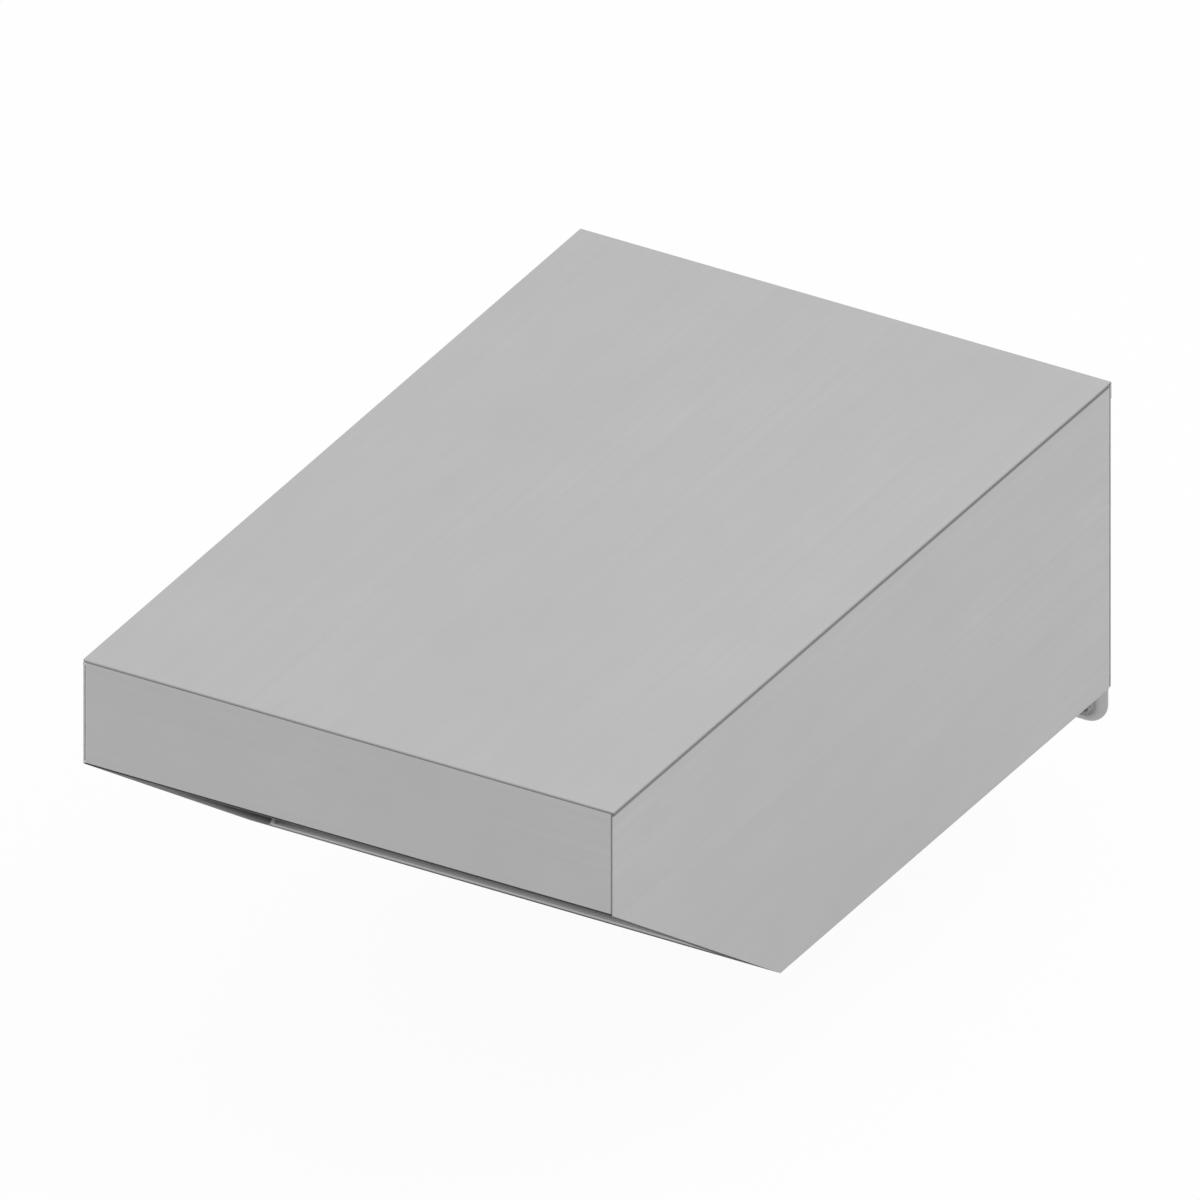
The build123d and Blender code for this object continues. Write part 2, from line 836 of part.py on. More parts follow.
def fan_inlet_ring():
    """Spun bell mouth that leads air into the eye of the impeller."""
    throat = impeller_eye - ring_gap - ring_sheet
    mouth = throat + ring_lead
    rim = mouth + ring_rim
    reach = impeller_lead + ring_reach
    outline = [
        Line((rim, 0), (mouth, 0)),
        RadiusArc((mouth, 0), (throat, ring_lead), -ring_lead),
        Line((throat, ring_lead), (throat, reach)),
        Line((throat, reach), (throat + ring_sheet, reach)),
        Line((throat + ring_sheet, reach), (throat + ring_sheet, ring_lead)),
        RadiusArc((throat + ring_sheet, ring_lead), (mouth, ring_sheet), ring_lead - ring_sheet),
        Line((mouth, ring_sheet), (rim, ring_sheet)),
        Line((rim, ring_sheet), (rim, 0)),
    ]
    return Pos(0, bulkhead_y, fan_z) * revolve(Plane.XY * make_face(outline), Axis.Y)


def shroud_line(start, end):
    """Curve of the shroud from its neck to the rim."""
    return Spline(start, end, tangents=((0.2, 1), (1, 0.25)))


def impeller():
    """Backward-curved centrifugal wheel: back plate, curved blades and a spun shroud."""
    skin = impeller_plate
    back = impeller_width - skin
    eye = (impeller_eye, 0)
    neck = (impeller_eye + collar_flare, collar_height)
    edge = (impeller_radius, back - impeller_width * impeller_rim_share)
    outer_neck = (neck[0] + skin, neck[1])
    outer_edge = (edge[0], edge[1] - skin)
    shroud = make_face(
        [
            Line(eye, neck),
            shroud_line(neck, edge),
            Line(edge, outer_edge),
            shroud_line(outer_neck, outer_edge),
            Line(outer_neck, (eye[0] + skin, 0)),
            Line((eye[0] + skin, 0), eye),
        ]
    )
    space = make_face(
        [
            Line((can_radius, back), (impeller_radius, back)),
            Line((impeller_radius, back), edge),
            shroud_line(neck, edge),
            Line(neck, (can_radius, neck[1])),
            Line((can_radius, neck[1]), (can_radius, back)),
        ]
    )
    wheel = revolve(shroud, Axis.Y)
    wheel += turned(
        [
            (can_radius, back),
            (impeller_radius, back),
            (impeller_radius, impeller_width),
            (can_radius, impeller_width),
        ]
    )
    inner_end = Vector(can_radius + blade_root, 0)
    outer_end = Vector(impeller_radius, 0).rotate(Axis.Z, -blade_sweep)
    line = RadiusArc(inner_end, outer_end, impeller_radius * blade_bow)
    strip = make_face(offset(line, skin, side=Side.LEFT, closed=True))
    blade = extrude(Plane.XZ * strip, -back) & revolve(space, Axis.Y)
    for number in range(blade_count):
        wheel += Rot(0, number * 360 / blade_count, 0) * blade
    return Pos(0, impeller_front_y, fan_z) * wheel


def fan_rotor_can():
    """Steel cup of the outer-rotor motor, which carries the impeller and the magnets."""
    inner_radius = can_radius - can_wall
    floor = can_front_y + can_wall
    return turned(
        [
            (shaft_radius, can_front_y),
            (can_radius - can_edge, can_front_y),
            (can_radius, can_front_y + can_edge),
            (can_radius, can_back_y),
            (inner_radius, can_back_y),
            (inner_radius, floor),
            (shaft_radius, floor),
        ],
        z=fan_z,
    )


def fan_shaft():
    """Shaft fixed in the cup, running in the stator's two bearings."""
    return drilled(shaft_radius, 0, fan_z, can_front_y, spider_y + shaft_tail)


def bearing_places():
    """Y of the front face of each bearing."""
    return (stator_front_y, stator_y + motor_flange - bearing_width)


def fan_bearings():
    """Two ball bearings, each as one ring with a groove between its races."""
    bore = shaft_radius + running_fit
    outer_race = bearing_radius - race_width
    inner_race = outer_race - race_groove
    slope_width = race_groove / 6
    section = [
        (bore, 0),
        (inner_race, 0),
        (inner_race + slope_width, groove_depth),
        (outer_race - slope_width, groove_depth),
        (outer_race, 0),
        (bearing_radius, 0),
        (bearing_radius, bearing_width),
        (bore, bearing_width),
    ]
    return together([turned(section, axis_y=y, z=fan_z) for y in bearing_places()])


def fan_stator():
    """Wound core and mounting flange of the motor, bored for the bearings."""
    core_radius = can_radius - can_wall - air_gap
    neck = core_radius - stator_shoulder
    bore = shaft_radius + stator_bore_gap
    rim = can_radius + motor_flange_rim
    flange_rear = stator_y + motor_flange
    body = turned(
        [
            (bore, stator_front_y),
            (neck, stator_front_y),
            (neck, stator_front_y + stator_nose),
            (core_radius, stator_front_y + stator_nose + stator_slope),
            (core_radius, stator_y - stator_nose - stator_slope),
            (neck, stator_y - stator_nose),
            (neck, stator_y),
            (rim, stator_y),
            (rim, flange_rear),
            (bore, flange_rear),
        ],
        z=fan_z,
    )
    for y in bearing_places():
        body -= drilled(bearing_radius, 0, fan_z, y, y + bearing_width)
    return body


def motor_spider():
    """Four-armed plate that carries the motor's flange on the rods."""
    corner = standoff_offset
    diagonal = math.hypot(corner, corner)
    hole = Cylinder(screw_radius + screw_clearance, 2 * spider_sheet)
    plate = Cylinder(can_radius + spider_hub, spider_sheet)
    for turn in (45, -45):
        plate += Rot(0, 0, turn) * Box(2 * diagonal, spider_arm, spider_sheet)
    for x in (-corner, corner):
        for y in (-corner, corner):
            plate += Pos(x, y) * Cylinder(spider_boss, spider_sheet)
            plate -= Pos(x, y) * hole
    plate -= Cylinder(shaft_radius + race_groove, 2 * spider_sheet)
    for turn in range(4):
        plate -= Rot(0, 0, turn * 90) * Pos(can_radius, 0) * hole
    return Pos(0, spider_y + spider_sheet / 2, fan_z) * Rot(90, 0, 0) * plate


def motor_rods():
    """Rods between the bulkhead and the motor's plate."""
    rods = [drilled(standoff_radius, x, z, bulkhead_y, spider_y) for x, z in standoff_places()]
    return together(rods)


def outlet_louvre(x, z, wide, tall):
    """Framed set of slanting slats, let into the rear panel from outside."""
    outer = panel_y + sheet
    inner = panel_y - louvre_depth
    rim_x, rim_z = wide / 2 + louvre_rim, tall / 2 + louvre_rim
    frame = block((x - rim_x, panel_y, z - rim_z), (x + rim_x, outer, z + rim_z))
    frame = fillet(frame.edges().filter_by(Axis.Y), louvre_corner)
    half_x, half_z = wide / 2 - touch, tall / 2 - touch
    frame += block((x - half_x, inner, z - half_z), (x + half_x, panel_y, z + half_z))
    half_x, half_z = half_x - sheet, half_z - sheet
    frame -= block((x - half_x, inner - sheet, z - half_z), (x + half_x, outer + sheet, z + half_z))
    count = int(2 * half_z // slat_pitch)
    step = 2 * half_z / count
    rise = step * slat_share
    tip = inner + slat_inset
    for number in range(count):
        low = z - half_z + number * step + (step - rise) / 2
        slat = folded([(panel_y, low), (tip, low + rise), (tip, low + rise + slat_lip)])
        frame += extrude(Plane.YZ.offset(x) * slat, half_x, both=True)
    return frame


def rear_panel():
    """Flat rear cover with the fan opening, both outlets, gland hole and drain hole."""
    low, high = rim_y, panel_y
    panel = block((-side_x, low, 0), (side_x, high, lid_z - fold))
    panel = chamfer(panel.edges().filter_by(Axis.Y), panel_corner)
    cut_low, cut_high = low - sheet, high + sheet
    panel -= screw_holes(panel_screws + lid_screws + axial_screws(), cut_low, cut_high)
    panel -= drilled(axial_bore, -side_duct_x, axial_z, cut_low, cut_high)
    panel -= drilled(gland_thread, -side_duct_x, gland_z, cut_low, cut_high)
    panel -= drain_hole()
    for x, z, wide, tall in outlets():
        panel -= block((x - wide / 2, cut_low, z - tall / 2), (x + wide / 2, cut_high, z + tall / 2))
    return panel


def outlets():
    """Middle and size of the warm outlet and of the cooling air outlet."""
    return [
        (0.0, fan_z, outlet_width, outlet_height),
        (side_duct_x, fan_z + cool_outlet_rise, cool_outlet_width, cool_outlet_height),
    ]


def axial_screws():
    """Corner screws of the cooling fan."""
    half = axial_hole_spacing / 2
    return [(-side_duct_x + x, axial_z + z) for x in (-half, half) for z in (-half, half)]


def cooling_fan_frame():
    """Square frame of the axial fan, with its round duct, struts and bearing boss."""
    half = axial_size / 2
    front = axial_front_y
    duct = (0, 0, front - sheet, rim_y + sheet)
    frame = block((-half, front, -half), (half, rim_y, half))
    frame = fillet(frame.edges().filter_by(Axis.Y), axial_corner)
    frame -= drilled(axial_bore, *duct)
    ear = 2 * axial_corner
    low_y, high_y = front + axial_web, rim_y - axial_web
    past = half + sheet
    groove = block((-past, low_y, ear - half), (past, high_y, half - ear))
    groove += block((ear - half, low_y, -past), (half - ear, high_y, past))
    frame -= groove - drilled(axial_bore + axial_wall, *duct)
    strut_rear = front + axial_strut_depth
    thin = axial_strut / 2
    for turn in range(4):
        bar = block((axial_hub - axial_wall, front, -thin), (axial_bore + thin, strut_rear, thin))
        frame += Rot(0, turn * 90 + 45, 0) * bar
    frame += drilled(axial_hub, 0, 0, front, strut_rear)
    frame += drilled(axial_boss, 0, 0, front, front + axial_boss_depth)
    bore_end = front + axial_boss_depth + sheet
    frame -= drilled(axial_shaft + running_fit, 0, 0, front - sheet, bore_end)
    frame = Pos(-side_duct_x, 0, axial_z) * frame
    return frame - screw_holes(axial_screws(), front - sheet, rim_y + sheet)


def cooling_fan_rotor():
    """Hub cup, shaft and pitched blades of the axial fan."""
    front = axial_front_y + axial_strut_depth + axial_pitch_gap
    rear = rim_y - axial_rotor_gap
    wall = axial_wall
    hub = turned(
        [
            (0, rear - wall),
            (axial_hub - wall, rear - wall),
            (axial_hub - wall, front),
            (axial_hub, front),
            (axial_hub, rear - wall),
            (axial_hub - wall, rear),
            (0, rear),
        ]
    )
    hub += drilled(axial_shaft, 0, 0, axial_front_y + wall / 2, rear - wall)
    tips = drilled(axial_bore - axial_tip_gap, 0, 0, front, rear)
    reach = tips - drilled(axial_hub - wall / 2, 0, 0, front - wall, rear + wall)
    half = axial_chord / 2
    arc = ThreePointArc((-half, 0), (0, axial_camber), (half, 0))
    strip = make_face(offset(arc, axial_blade, side=Side.LEFT, closed=True))
    middle = Pos(0, (front + rear) / 2, 0)
    blade = middle * Rot(0, 0, axial_pitch) * extrude(strip, axial_bore)
    for number in range(axial_blades):
        hub += Rot(0, number * 360 / axial_blades, 0) * blade & reach
    return Pos(-side_duct_x, 0, axial_z) * hub


def cooling_fan_guard():
    """Round finger guard on the outside of the rear panel."""
    half = guard_bar / 2
    rings = []
    for number in range(guard_rings):
        radius = axial_bore - half - number * guard_pitch
        section = [
            (radius - half, guard_bar),
            (radius + half, guard_bar),
            (radius + half, 2 * guard_bar),
            (radius - half, 2 * guard_bar),
        ]
        rings.append(turned(section))
    inner_ring = axial_bore - (guard_rings - 1) * guard_pitch - guard_bar
    reach = math.hypot(axial_hole_spacing, axial_hole_spacing) / 2
    hole = drilled(screw_radius + screw_clearance, reach, 0, -guard_bar, 2 * guard_bar)
    bars = []
    for turn in range(4):
        bar = block((inner_ring, 0, -half), (reach, guard_bar, half))
        eye = drilled(guard_eye, reach, 0, 0, guard_bar)
        bars.append(Rot(0, 45 + turn * 90, 0) * (bar + eye - hole))
    return Pos(-side_duct_x, panel_y, axial_z) * fused(rings + bars)


def screw(x, z, y, shank):
    """Pan-head screw with its head on the face at y and its shank pointing to the front."""
    half = screw_head_height / 2
    section = [
        (0, 0),
        (screw_head, 0),
        (screw_head, half),
        (screw_head - half, screw_head_height),
        (0, screw_head_height),
    ]
    head = turned(section, axis_y=y, x=x, z=z)
    return head + drilled(screw_radius, x, z, y - shank, y)


def rear_screws():
    """Screws of the rear panel and of the lid's rear flange."""
    screws = [screw(x, z, panel_y, screw_length) for x, z in panel_screws]
    screws += [screw(x, z, rear_y, screw_length) for x, z in lid_screws]
    return together(screws)


def cooling_fan_screws():
    """Long screws through guard, rear panel and fan frame."""
    face = panel_y + guard_bar
    length = guard_bar + sheet + axial_depth
    return together([screw(x, z, face, length) for x, z in axial_screws()])


def motor_screws():
    """Screws through the plate into the rods, and into the motor's flange."""
    face = spider_y + spider_sheet
    places = standoff_places()
    for turn in range(4):
        angle = math.radians(turn * 90)
        places.append((can_radius * math.cos(angle), fan_z + can_radius * math.sin(angle)))
    return together([screw(x, z, face, spider_sheet) for x, z in places])


def electrical_box():
    """Folded box on the inside of the left side, open towards the duct."""
    low = (-inner_x, box_y - box_length / 2, box_z - box_height / 2)
    high = (-inner_x + box_reach, box_y + box_length / 2, box_z + box_height / 2)
    shell = fillet(block(low, high).edges().filter_by(Axis.X), box_corner)
    inside_low = (low[0] + sheet, low[1] + sheet, low[2] + sheet)
    inside_high = (high[0] + sheet, high[1] - sheet, high[2] - sheet)
    shell -= block(inside_low, inside_high)
    return shell - drilled(box_entry, -side_duct_x, gland_z, high[1] - 2 * sheet, high[1] + sheet)


def electrical_lid():
    """Cover of the electrical box."""
    inner = -inner_x + box_reach
    low = (inner, box_y - box_length / 2, box_z - box_height / 2)
    high = (inner + sheet, box_y + box_length / 2, box_z + box_height / 2)
    lid = fillet(block(low, high).edges().filter_by(Axis.X), box_corner)
    outer = 2 * sheet + touch
    lip = block(
        (inner - box_lip, low[1] + outer, low[2] + outer), (inner, high[1] - outer, high[2] - outer)
    )
    inset = outer + sheet
    lip -= block(
        (inner - box_lip - sheet, low[1] + inset, low[2] + inset),
        (inner, high[1] - inset, high[2] - inset),
    )
    return lid + lip


def control_board():
    """Circuit board with three relays, on four pillars."""
    face = box_floor_x + board_lift
    top = face + board_thickness
    low_z, high_z = box_z - board_width / 2, box_z + board_width / 2
    board = block((face, board_y, low_z), (top, board_y + board_length, high_z))
    half = relay_size / 2
    for along, up in ((0, 0), (1, 0), (0, 1)):
        y = board_y + relay_margin_y + along * relay_pitch
        z = low_z + relay_margin_z + up * relay_rise
        board += block((top, y - half, z - half), (top + relay_height, y + half, z + half))
    for y in (board_y + pillar_inset, board_y + board_length - pillar_inset):
        for z in (low_z + pillar_inset, high_z - pillar_inset):
            board += crosswise(pillar_radius, box_floor_x, face, y, z)
    return board


def terminal_block():
    """Row of cable terminals, each with a screw hole and a mouth for the cable."""
    top = box_floor_x + terminal_height
    half = terminal_width / 2
    length = terminal_count * terminal_pitch
    body = block(
        (box_floor_x, terminal_y - half, box_z - length / 2), (top, terminal_y + half, box_z + length / 2)
    )
    mouth = terminal_mouth / 2
    face_y = terminal_y - half
    for number in range(terminal_count):
        z = box_z + (number - (terminal_count - 1) / 2) * terminal_pitch
        middle_x = box_floor_x + terminal_height / 2
        body -= crosswise(terminal_screw, middle_x, top + sheet, terminal_y, z)
        body -= block(
            (box_floor_x + mouth, face_y - sheet, z - mouth),
            (box_floor_x + 3 * mouth, face_y + terminal_mouth_depth, z + mouth),
        )
    return body


def run_capacitor():
    """Round run capacitor of the fan motor."""
    top = box_floor_x + capacitor_length
    can = crosswise(capacitor_radius, box_floor_x, top, capacitor_y, box_z)
    can = chamfer(can.faces().sort_by(Axis.X)[-1].edges(), capacitor_edge)
    stud = crosswise(capacitor_stud, top, top + capacitor_stud_length, capacitor_y, box_z)
    return can + stud


def cable_gland():
    """Screwed gland in the rear panel: inside nut, body and domed cap, bored for the cable."""
    tail = rim_y - gland_tail
    thread = gland_thread - gland_slack
    shoulder = panel_y + gland_flange_height
    cap_end = panel_y + gland_length
    body = turned(
        [
            (gland_bore, tail),
            (thread, tail),
            (thread, panel_y),
            (gland_flange, panel_y),
            (gland_flange, shoulder),
            (gland_cap, shoulder + 2 * gland_slack),
            (gland_cap, cap_end - gland_taper),
            (gland_cap - gland_taper, cap_end),
            (gland_bore, cap_end),
        ]
    )
    nut = extrude(Plane.XZ * RegularPolygon(gland_nut, 6), gland_nut_height)
    nut = Pos(0, rim_y, 0) * nut - drilled(thread - gland_slack, 0, 0, tail, rim_y + sheet)
    return Pos(-side_duct_x, 0, gland_z) * (body + nut)


def steam_spigot():
    """Flanged pipe in the base that takes the oven's vent pipe."""
    seat = sheet + gasket
    rim = inlet_radius + inlet_rim
    outer = inlet_radius + inlet_wall
    section = [
        (inlet_radius, seat),
        (rim, seat),
        (rim, seat + inlet_wall),
        (outer + inlet_bend, seat + inlet_wall),
        (outer, seat + inlet_wall + inlet_bend),
        (outer, inlet_height),
        (inlet_radius, inlet_height),
    ]
    pipe = revolve(Plane.XZ * make_face(Polyline(*section, close=True)), Axis.Z)
    return Pos(inlet_x, inlet_y) * pipe


def steam_gasket():
    """Flat ring between the spigot's flange and the base."""
    ring = Cylinder(inlet_radius + inlet_rim, gasket) - Cylinder(inlet_radius, 2 * gasket)
    return Pos(inlet_x, inlet_y, sheet + gasket / 2) * ring


def hollow_run(path):
    """Pipe along a path of straight runs and arcs."""
    start = Plane(origin=path @ 0, z_dir=path % 0)
    ring = Circle(pipe_radius) - Circle(pipe_radius - pipe_wall)
    return sweep(start * ring, path=path)


def drain_pipe():
    """Pipe from the tray's spout across the right duct and out through the rear panel."""
    start = (duct_half_width - touch, tray_y, drain_z)
    corner = (drain_x, tray_y, drain_z)
    end = (drain_x, panel_y + drain_union, drain_z)
    return hollow_run(FilletPolyline(start, corner, end, radius=pipe_bend))


def drain_nut():
    """Hexagon nut that clamps the drain pipe behind the rear panel, its corners turned off."""
    rim = drain_nut_radius
    face = drain_nut_height
    nut = extrude(Plane.XZ * RegularPolygon(rim, 6), -face)
    nut &= turned(
        [
            (0, 0),
            (rim, 0),
            (rim, face - drain_nut_chamfer),
            (rim - 2 * drain_nut_chamfer, face),
            (0, face),
        ]
    )
    nut -= drilled(pipe_radius, 0, 0, -sheet, face + sheet)
    return Pos(drain_x, panel_y, drain_z) * nut


def drain_elbow():
    """Swept outlet: down behind the casing, then round to the left for the hose."""
    low_z = -drain_drop - drain_bend
    tail = drain_bend + drain_tail
    path = FilletPolyline(
        (drain_x, panel_y + drain_union, drain_z),
        (drain_x, drain_y, drain_z),
        (drain_x, drain_y, low_z),
        (drain_x - tail, drain_y, low_z),
        radius=drain_bend,
    )
    return hollow_run(path)


def side_pair(make):
    """Right piece and its mirror image."""
    right = make()
    return mirror(right, about=Plane.YZ), right


left_panel, right_panel = side_pair(side_panel)
warm_outlet, cool_outlet = [outlet_louvre(*place) for place in outlets()]

parts = {
    "top_lid": top_lid(),
    "lid_gasket": lid_gasket(),
    "lid_stiffener": lid_stiffener(),
    "side_panel_left": left_panel,
    "side_panel_right": right_panel,
    "fascia": fascia(),
    "base_pan": base_pan(),
    "rear_panel": rear_panel(),
    "rear_screws": rear_screws(),
    "intake_frame": intake_frame(),
    "centre_rail": centre_rail(),
    "filter_magnets": filter_magnets(),
    "duct_wall_left": duct_wall(-1),
    "duct_wall_right": duct_wall(1),
    "lid_seals": lid_seals(),
    "condenser_plates": condenser_plates(),
    "condenser_posts": condenser_posts(),
    "core_seals": core_seals(),
    "bypass_plate": bypass_plate(),
    "condensate_tray": condensate_tray(),
    "bulkhead": bulkhead(),
    "fan_inlet_ring": fan_inlet_ring(),
    "impeller": impeller(),
    "fan_rotor_can": fan_rotor_can(),
    "fan_shaft": fan_shaft(),
    "fan_bearings": fan_bearings(),
    "fan_stator": fan_stator(),
    "motor_spider": motor_spider(),
    "motor_rods": motor_rods(),
    "motor_screws": motor_screws(),
    "warm_air_louvre": warm_outlet,
    "cooling_air_louvre": cool_outlet,
    "cooling_fan_frame": cooling_fan_frame(),
    "cooling_fan_rotor": cooling_fan_rotor(),
    "cooling_fan_guard": cooling_fan_guard(),
    "cooling_fan_screws": cooling_fan_screws(),
    "electrical_box": electrical_box(),
    "electrical_lid": electrical_lid(),
    "control_board": control_board(),
    "terminal_block": terminal_block(),
    "run_capacitor": run_capacitor(),
    "cable_gland": cable_gland(),
    "steam_spigot": steam_spigot(),
    "steam_gasket": steam_gasket(),
    "drain_pipe": drain_pipe(),
    "drain_nut": drain_nut(),
    "drain_elbow": drain_elbow(),
}
for name, side in (("left", -1), ("right", 1)):
    parts["filter_frame_" + name] = filter_frame(side)
    parts["filter_baffles_" + name] = filter_baffles(side)
    parts["filter_pivots_" + name] = filter_pivots(side)
    parts["filter_pull_" + name] = filter_pull(side)

os.makedirs("parts", exist_ok=True)
for node, shape in parts.items():
    export_step(shape, f"parts/{node}.step")
    print(node, len(shape.solids()), round(shape.volume))
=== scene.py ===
import json
import math

import bmesh
import bpy
from mathutils import Matrix, Vector

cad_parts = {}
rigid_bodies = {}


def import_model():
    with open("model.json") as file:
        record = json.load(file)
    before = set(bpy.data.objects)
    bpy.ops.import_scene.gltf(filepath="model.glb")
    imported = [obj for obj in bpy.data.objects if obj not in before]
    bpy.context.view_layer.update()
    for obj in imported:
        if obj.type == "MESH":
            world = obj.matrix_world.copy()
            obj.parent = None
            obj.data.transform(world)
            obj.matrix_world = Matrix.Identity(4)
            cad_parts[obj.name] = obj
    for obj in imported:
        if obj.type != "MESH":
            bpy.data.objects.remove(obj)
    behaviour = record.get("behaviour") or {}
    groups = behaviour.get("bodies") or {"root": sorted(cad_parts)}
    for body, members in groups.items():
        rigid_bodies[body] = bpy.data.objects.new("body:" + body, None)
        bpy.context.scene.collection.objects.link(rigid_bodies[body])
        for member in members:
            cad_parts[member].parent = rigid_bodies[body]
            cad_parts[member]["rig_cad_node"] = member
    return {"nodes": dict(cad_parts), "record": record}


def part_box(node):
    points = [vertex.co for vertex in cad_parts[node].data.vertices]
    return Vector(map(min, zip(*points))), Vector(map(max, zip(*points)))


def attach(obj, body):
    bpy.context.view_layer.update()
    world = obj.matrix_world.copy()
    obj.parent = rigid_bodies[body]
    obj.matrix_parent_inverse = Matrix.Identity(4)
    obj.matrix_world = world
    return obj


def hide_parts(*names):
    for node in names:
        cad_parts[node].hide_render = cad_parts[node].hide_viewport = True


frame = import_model()
for thing in list(bpy.context.scene.objects):
    if thing.type in {"MESH", "LIGHT", "CAMERA"} and "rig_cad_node" not in thing:
        bpy.data.objects.remove(thing)
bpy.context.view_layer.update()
nodes = frame["nodes"]

MM = 0.001

# The photograph is a parallel view from 30 degrees to the right and 30 degrees up.
AZIMUTH = math.radians(30)
ELEVATION = math.radians(30)
FRAME_WIDTH = 1.0781  # metres across the picture
CORNER_RIGHT = -0.01204  # from the nearest top corner to the middle of the picture
CORNER_UP = 0.1907
CAMERA_DISTANCE = 3.0
CAMERA_REACH = 20.0

# Stage
FLOOR_Z = -0.13
FLOOR_SIZE = 14.0
FLOOR_WHITE = (0.92, 0.92, 0.92)
FLOOR_GLOW = 0.95  # the part of its white that doesn't darken in the shadow, as the camera sees it
MIRRORED_GLOW = 0.655  # the same, as the metal mirrors it outside the square of painted shadow
SHADOW_MIDDLE_Y = -0.1  # middle of a painted shadow: a square under the hood whose glow the metal doesn't mirror
GLOW_START = 0.20  # from that middle to where the mirrored glow begins
GLOW_FULL = 0.36
WORLD_LIGHT = 0.80

# Brushed sheet
BRUSH_LINES = 1400.0  # per metre across the grain
LINES_A_STREAK = 9
GRAIN_STRETCH = 0.004  # share of the scale along the grain
BRUSH_RELIEF = 0.000012
BLOTS = 0.03  # share of the tone that blots take away
SATIN_ROUGHNESS = 0.38
SATIN_TONE = (0.45, 0.45, 0.45)
SIDE_LIT_TONE = (0.488, 0.488, 0.488)  # painted light: the same steel, lighter on the sides of the casing than on the top
FRONT_LIT_TONE = (0.47, 0.47, 0.47)  # painted light: the same steel, lighter on the fascia than on the top
EDGE_ON_SHADE_TINT = (0.15, 0.15, 0.15)  # painted shade: a dark specular tint that dulls the slanted sheets seen edge-on

# Folds and grooves of the sheet, and the painted shade and light in them
FOLD = 2.2 * MM  # about how far the shade of a fold reaches from its seam
SEAM_SHADE = (0.20, 0.20, 0.20)  # painted shade in the fold between fascia and right side
LID_SEAM_SHADE = (0.17, 0.17, 0.17)  # painted shade in the folds under the sides of the lid
LEFT_FOLD_LIGHT = (0.6, 0.6, 0.6)  # painted light in the fold at the fascia's left end
PAINTED_FOLD_LIGHT = (0.85, 0.85, 0.85)  # painted light by the narrow grooves at the rear and at the fascia's left end
GROOVE_START = 0.6 * MM  # beyond the fascia's left end, where the painted light on the left side begins
GROOVE_FULL = 0.2 * MM
UNDER_FASCIA_SHADE = (0.04, 0.04, 0.04)  # painted shade in the fold between fascia and slant
RECESS_SHADE = (0.10, 0.10, 0.10)  # painted shade inside the slant's opening
RECESS_START = 2 * MM  # from the slant's face into the opening, where the painted shade begins
RECESS_FULL = 8 * MM

# The slant, as in the part's source
SLANT_RISE = 0.209
SLANT_RUN = 0.300
SLANT_FOOT = Vector((0, -0.2975, 0))
SLOPE = math.atan2(SLANT_RISE, SLANT_RUN)
UP_SLOPE = Vector((0, -math.cos(SLOPE), math.sin(SLOPE)))
OUTWARDS = Vector((0, -math.sin(SLOPE), -math.cos(SLOPE)))
SLANT_LENGTH = math.hypot(SLANT_RISE, SLANT_RUN)

# The filters, measured up the slope from its foot
FILTER_LOW = 44 * MM
FILTER_HIGH = SLANT_LENGTH - 26 * MM
LIP_MIDDLE = 5 * MM  # from a filter's end to the middle of its lip
LIP_FACE = -24 * MM  # from the slant along OUTWARDS to the filters' front faces
PULL_RADIUS = 3 * MM
RIVET_OFFSETS = (-84, -28, 28, 84)  # millimetres across from a filter's middle

REAR_FACE = Matrix.Rotation(math.radians(-90), 4, "X")  # turns local Z to the rear
SHARP_EDGE = math.radians(35)


def camera():
    """Camera at the photograph's angle, aimed from the hood's nearest top corner."""
    back = Vector((
        math.sin(AZIMUTH) * math.cos(ELEVATION),
        -math.cos(AZIMUTH) * math.cos(ELEVATION),
        math.sin(ELEVATION),
    ))
    right = Vector((math.cos(AZIMUTH), math.sin(AZIMUTH), 0))
    up = back.cross(right)
    low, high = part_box("top_lid")
    nearest = Vector((high.x, low.y, high.z))
    aim = nearest + right * CORNER_RIGHT + up * CORNER_UP
    data = bpy.data.cameras.new("camera")
    data.type = "ORTHO"
    data.ortho_scale = FRAME_WIDTH
    data.clip_end = CAMERA_REACH
    made = bpy.data.objects.new("camera", data)
    made.location = aim + back * CAMERA_DISTANCE
    made.rotation_euler = (-back).to_track_quat("-Z", "Y").to_euler()
    bpy.context.scene.collection.objects.link(made)
    bpy.context.scene.camera = made


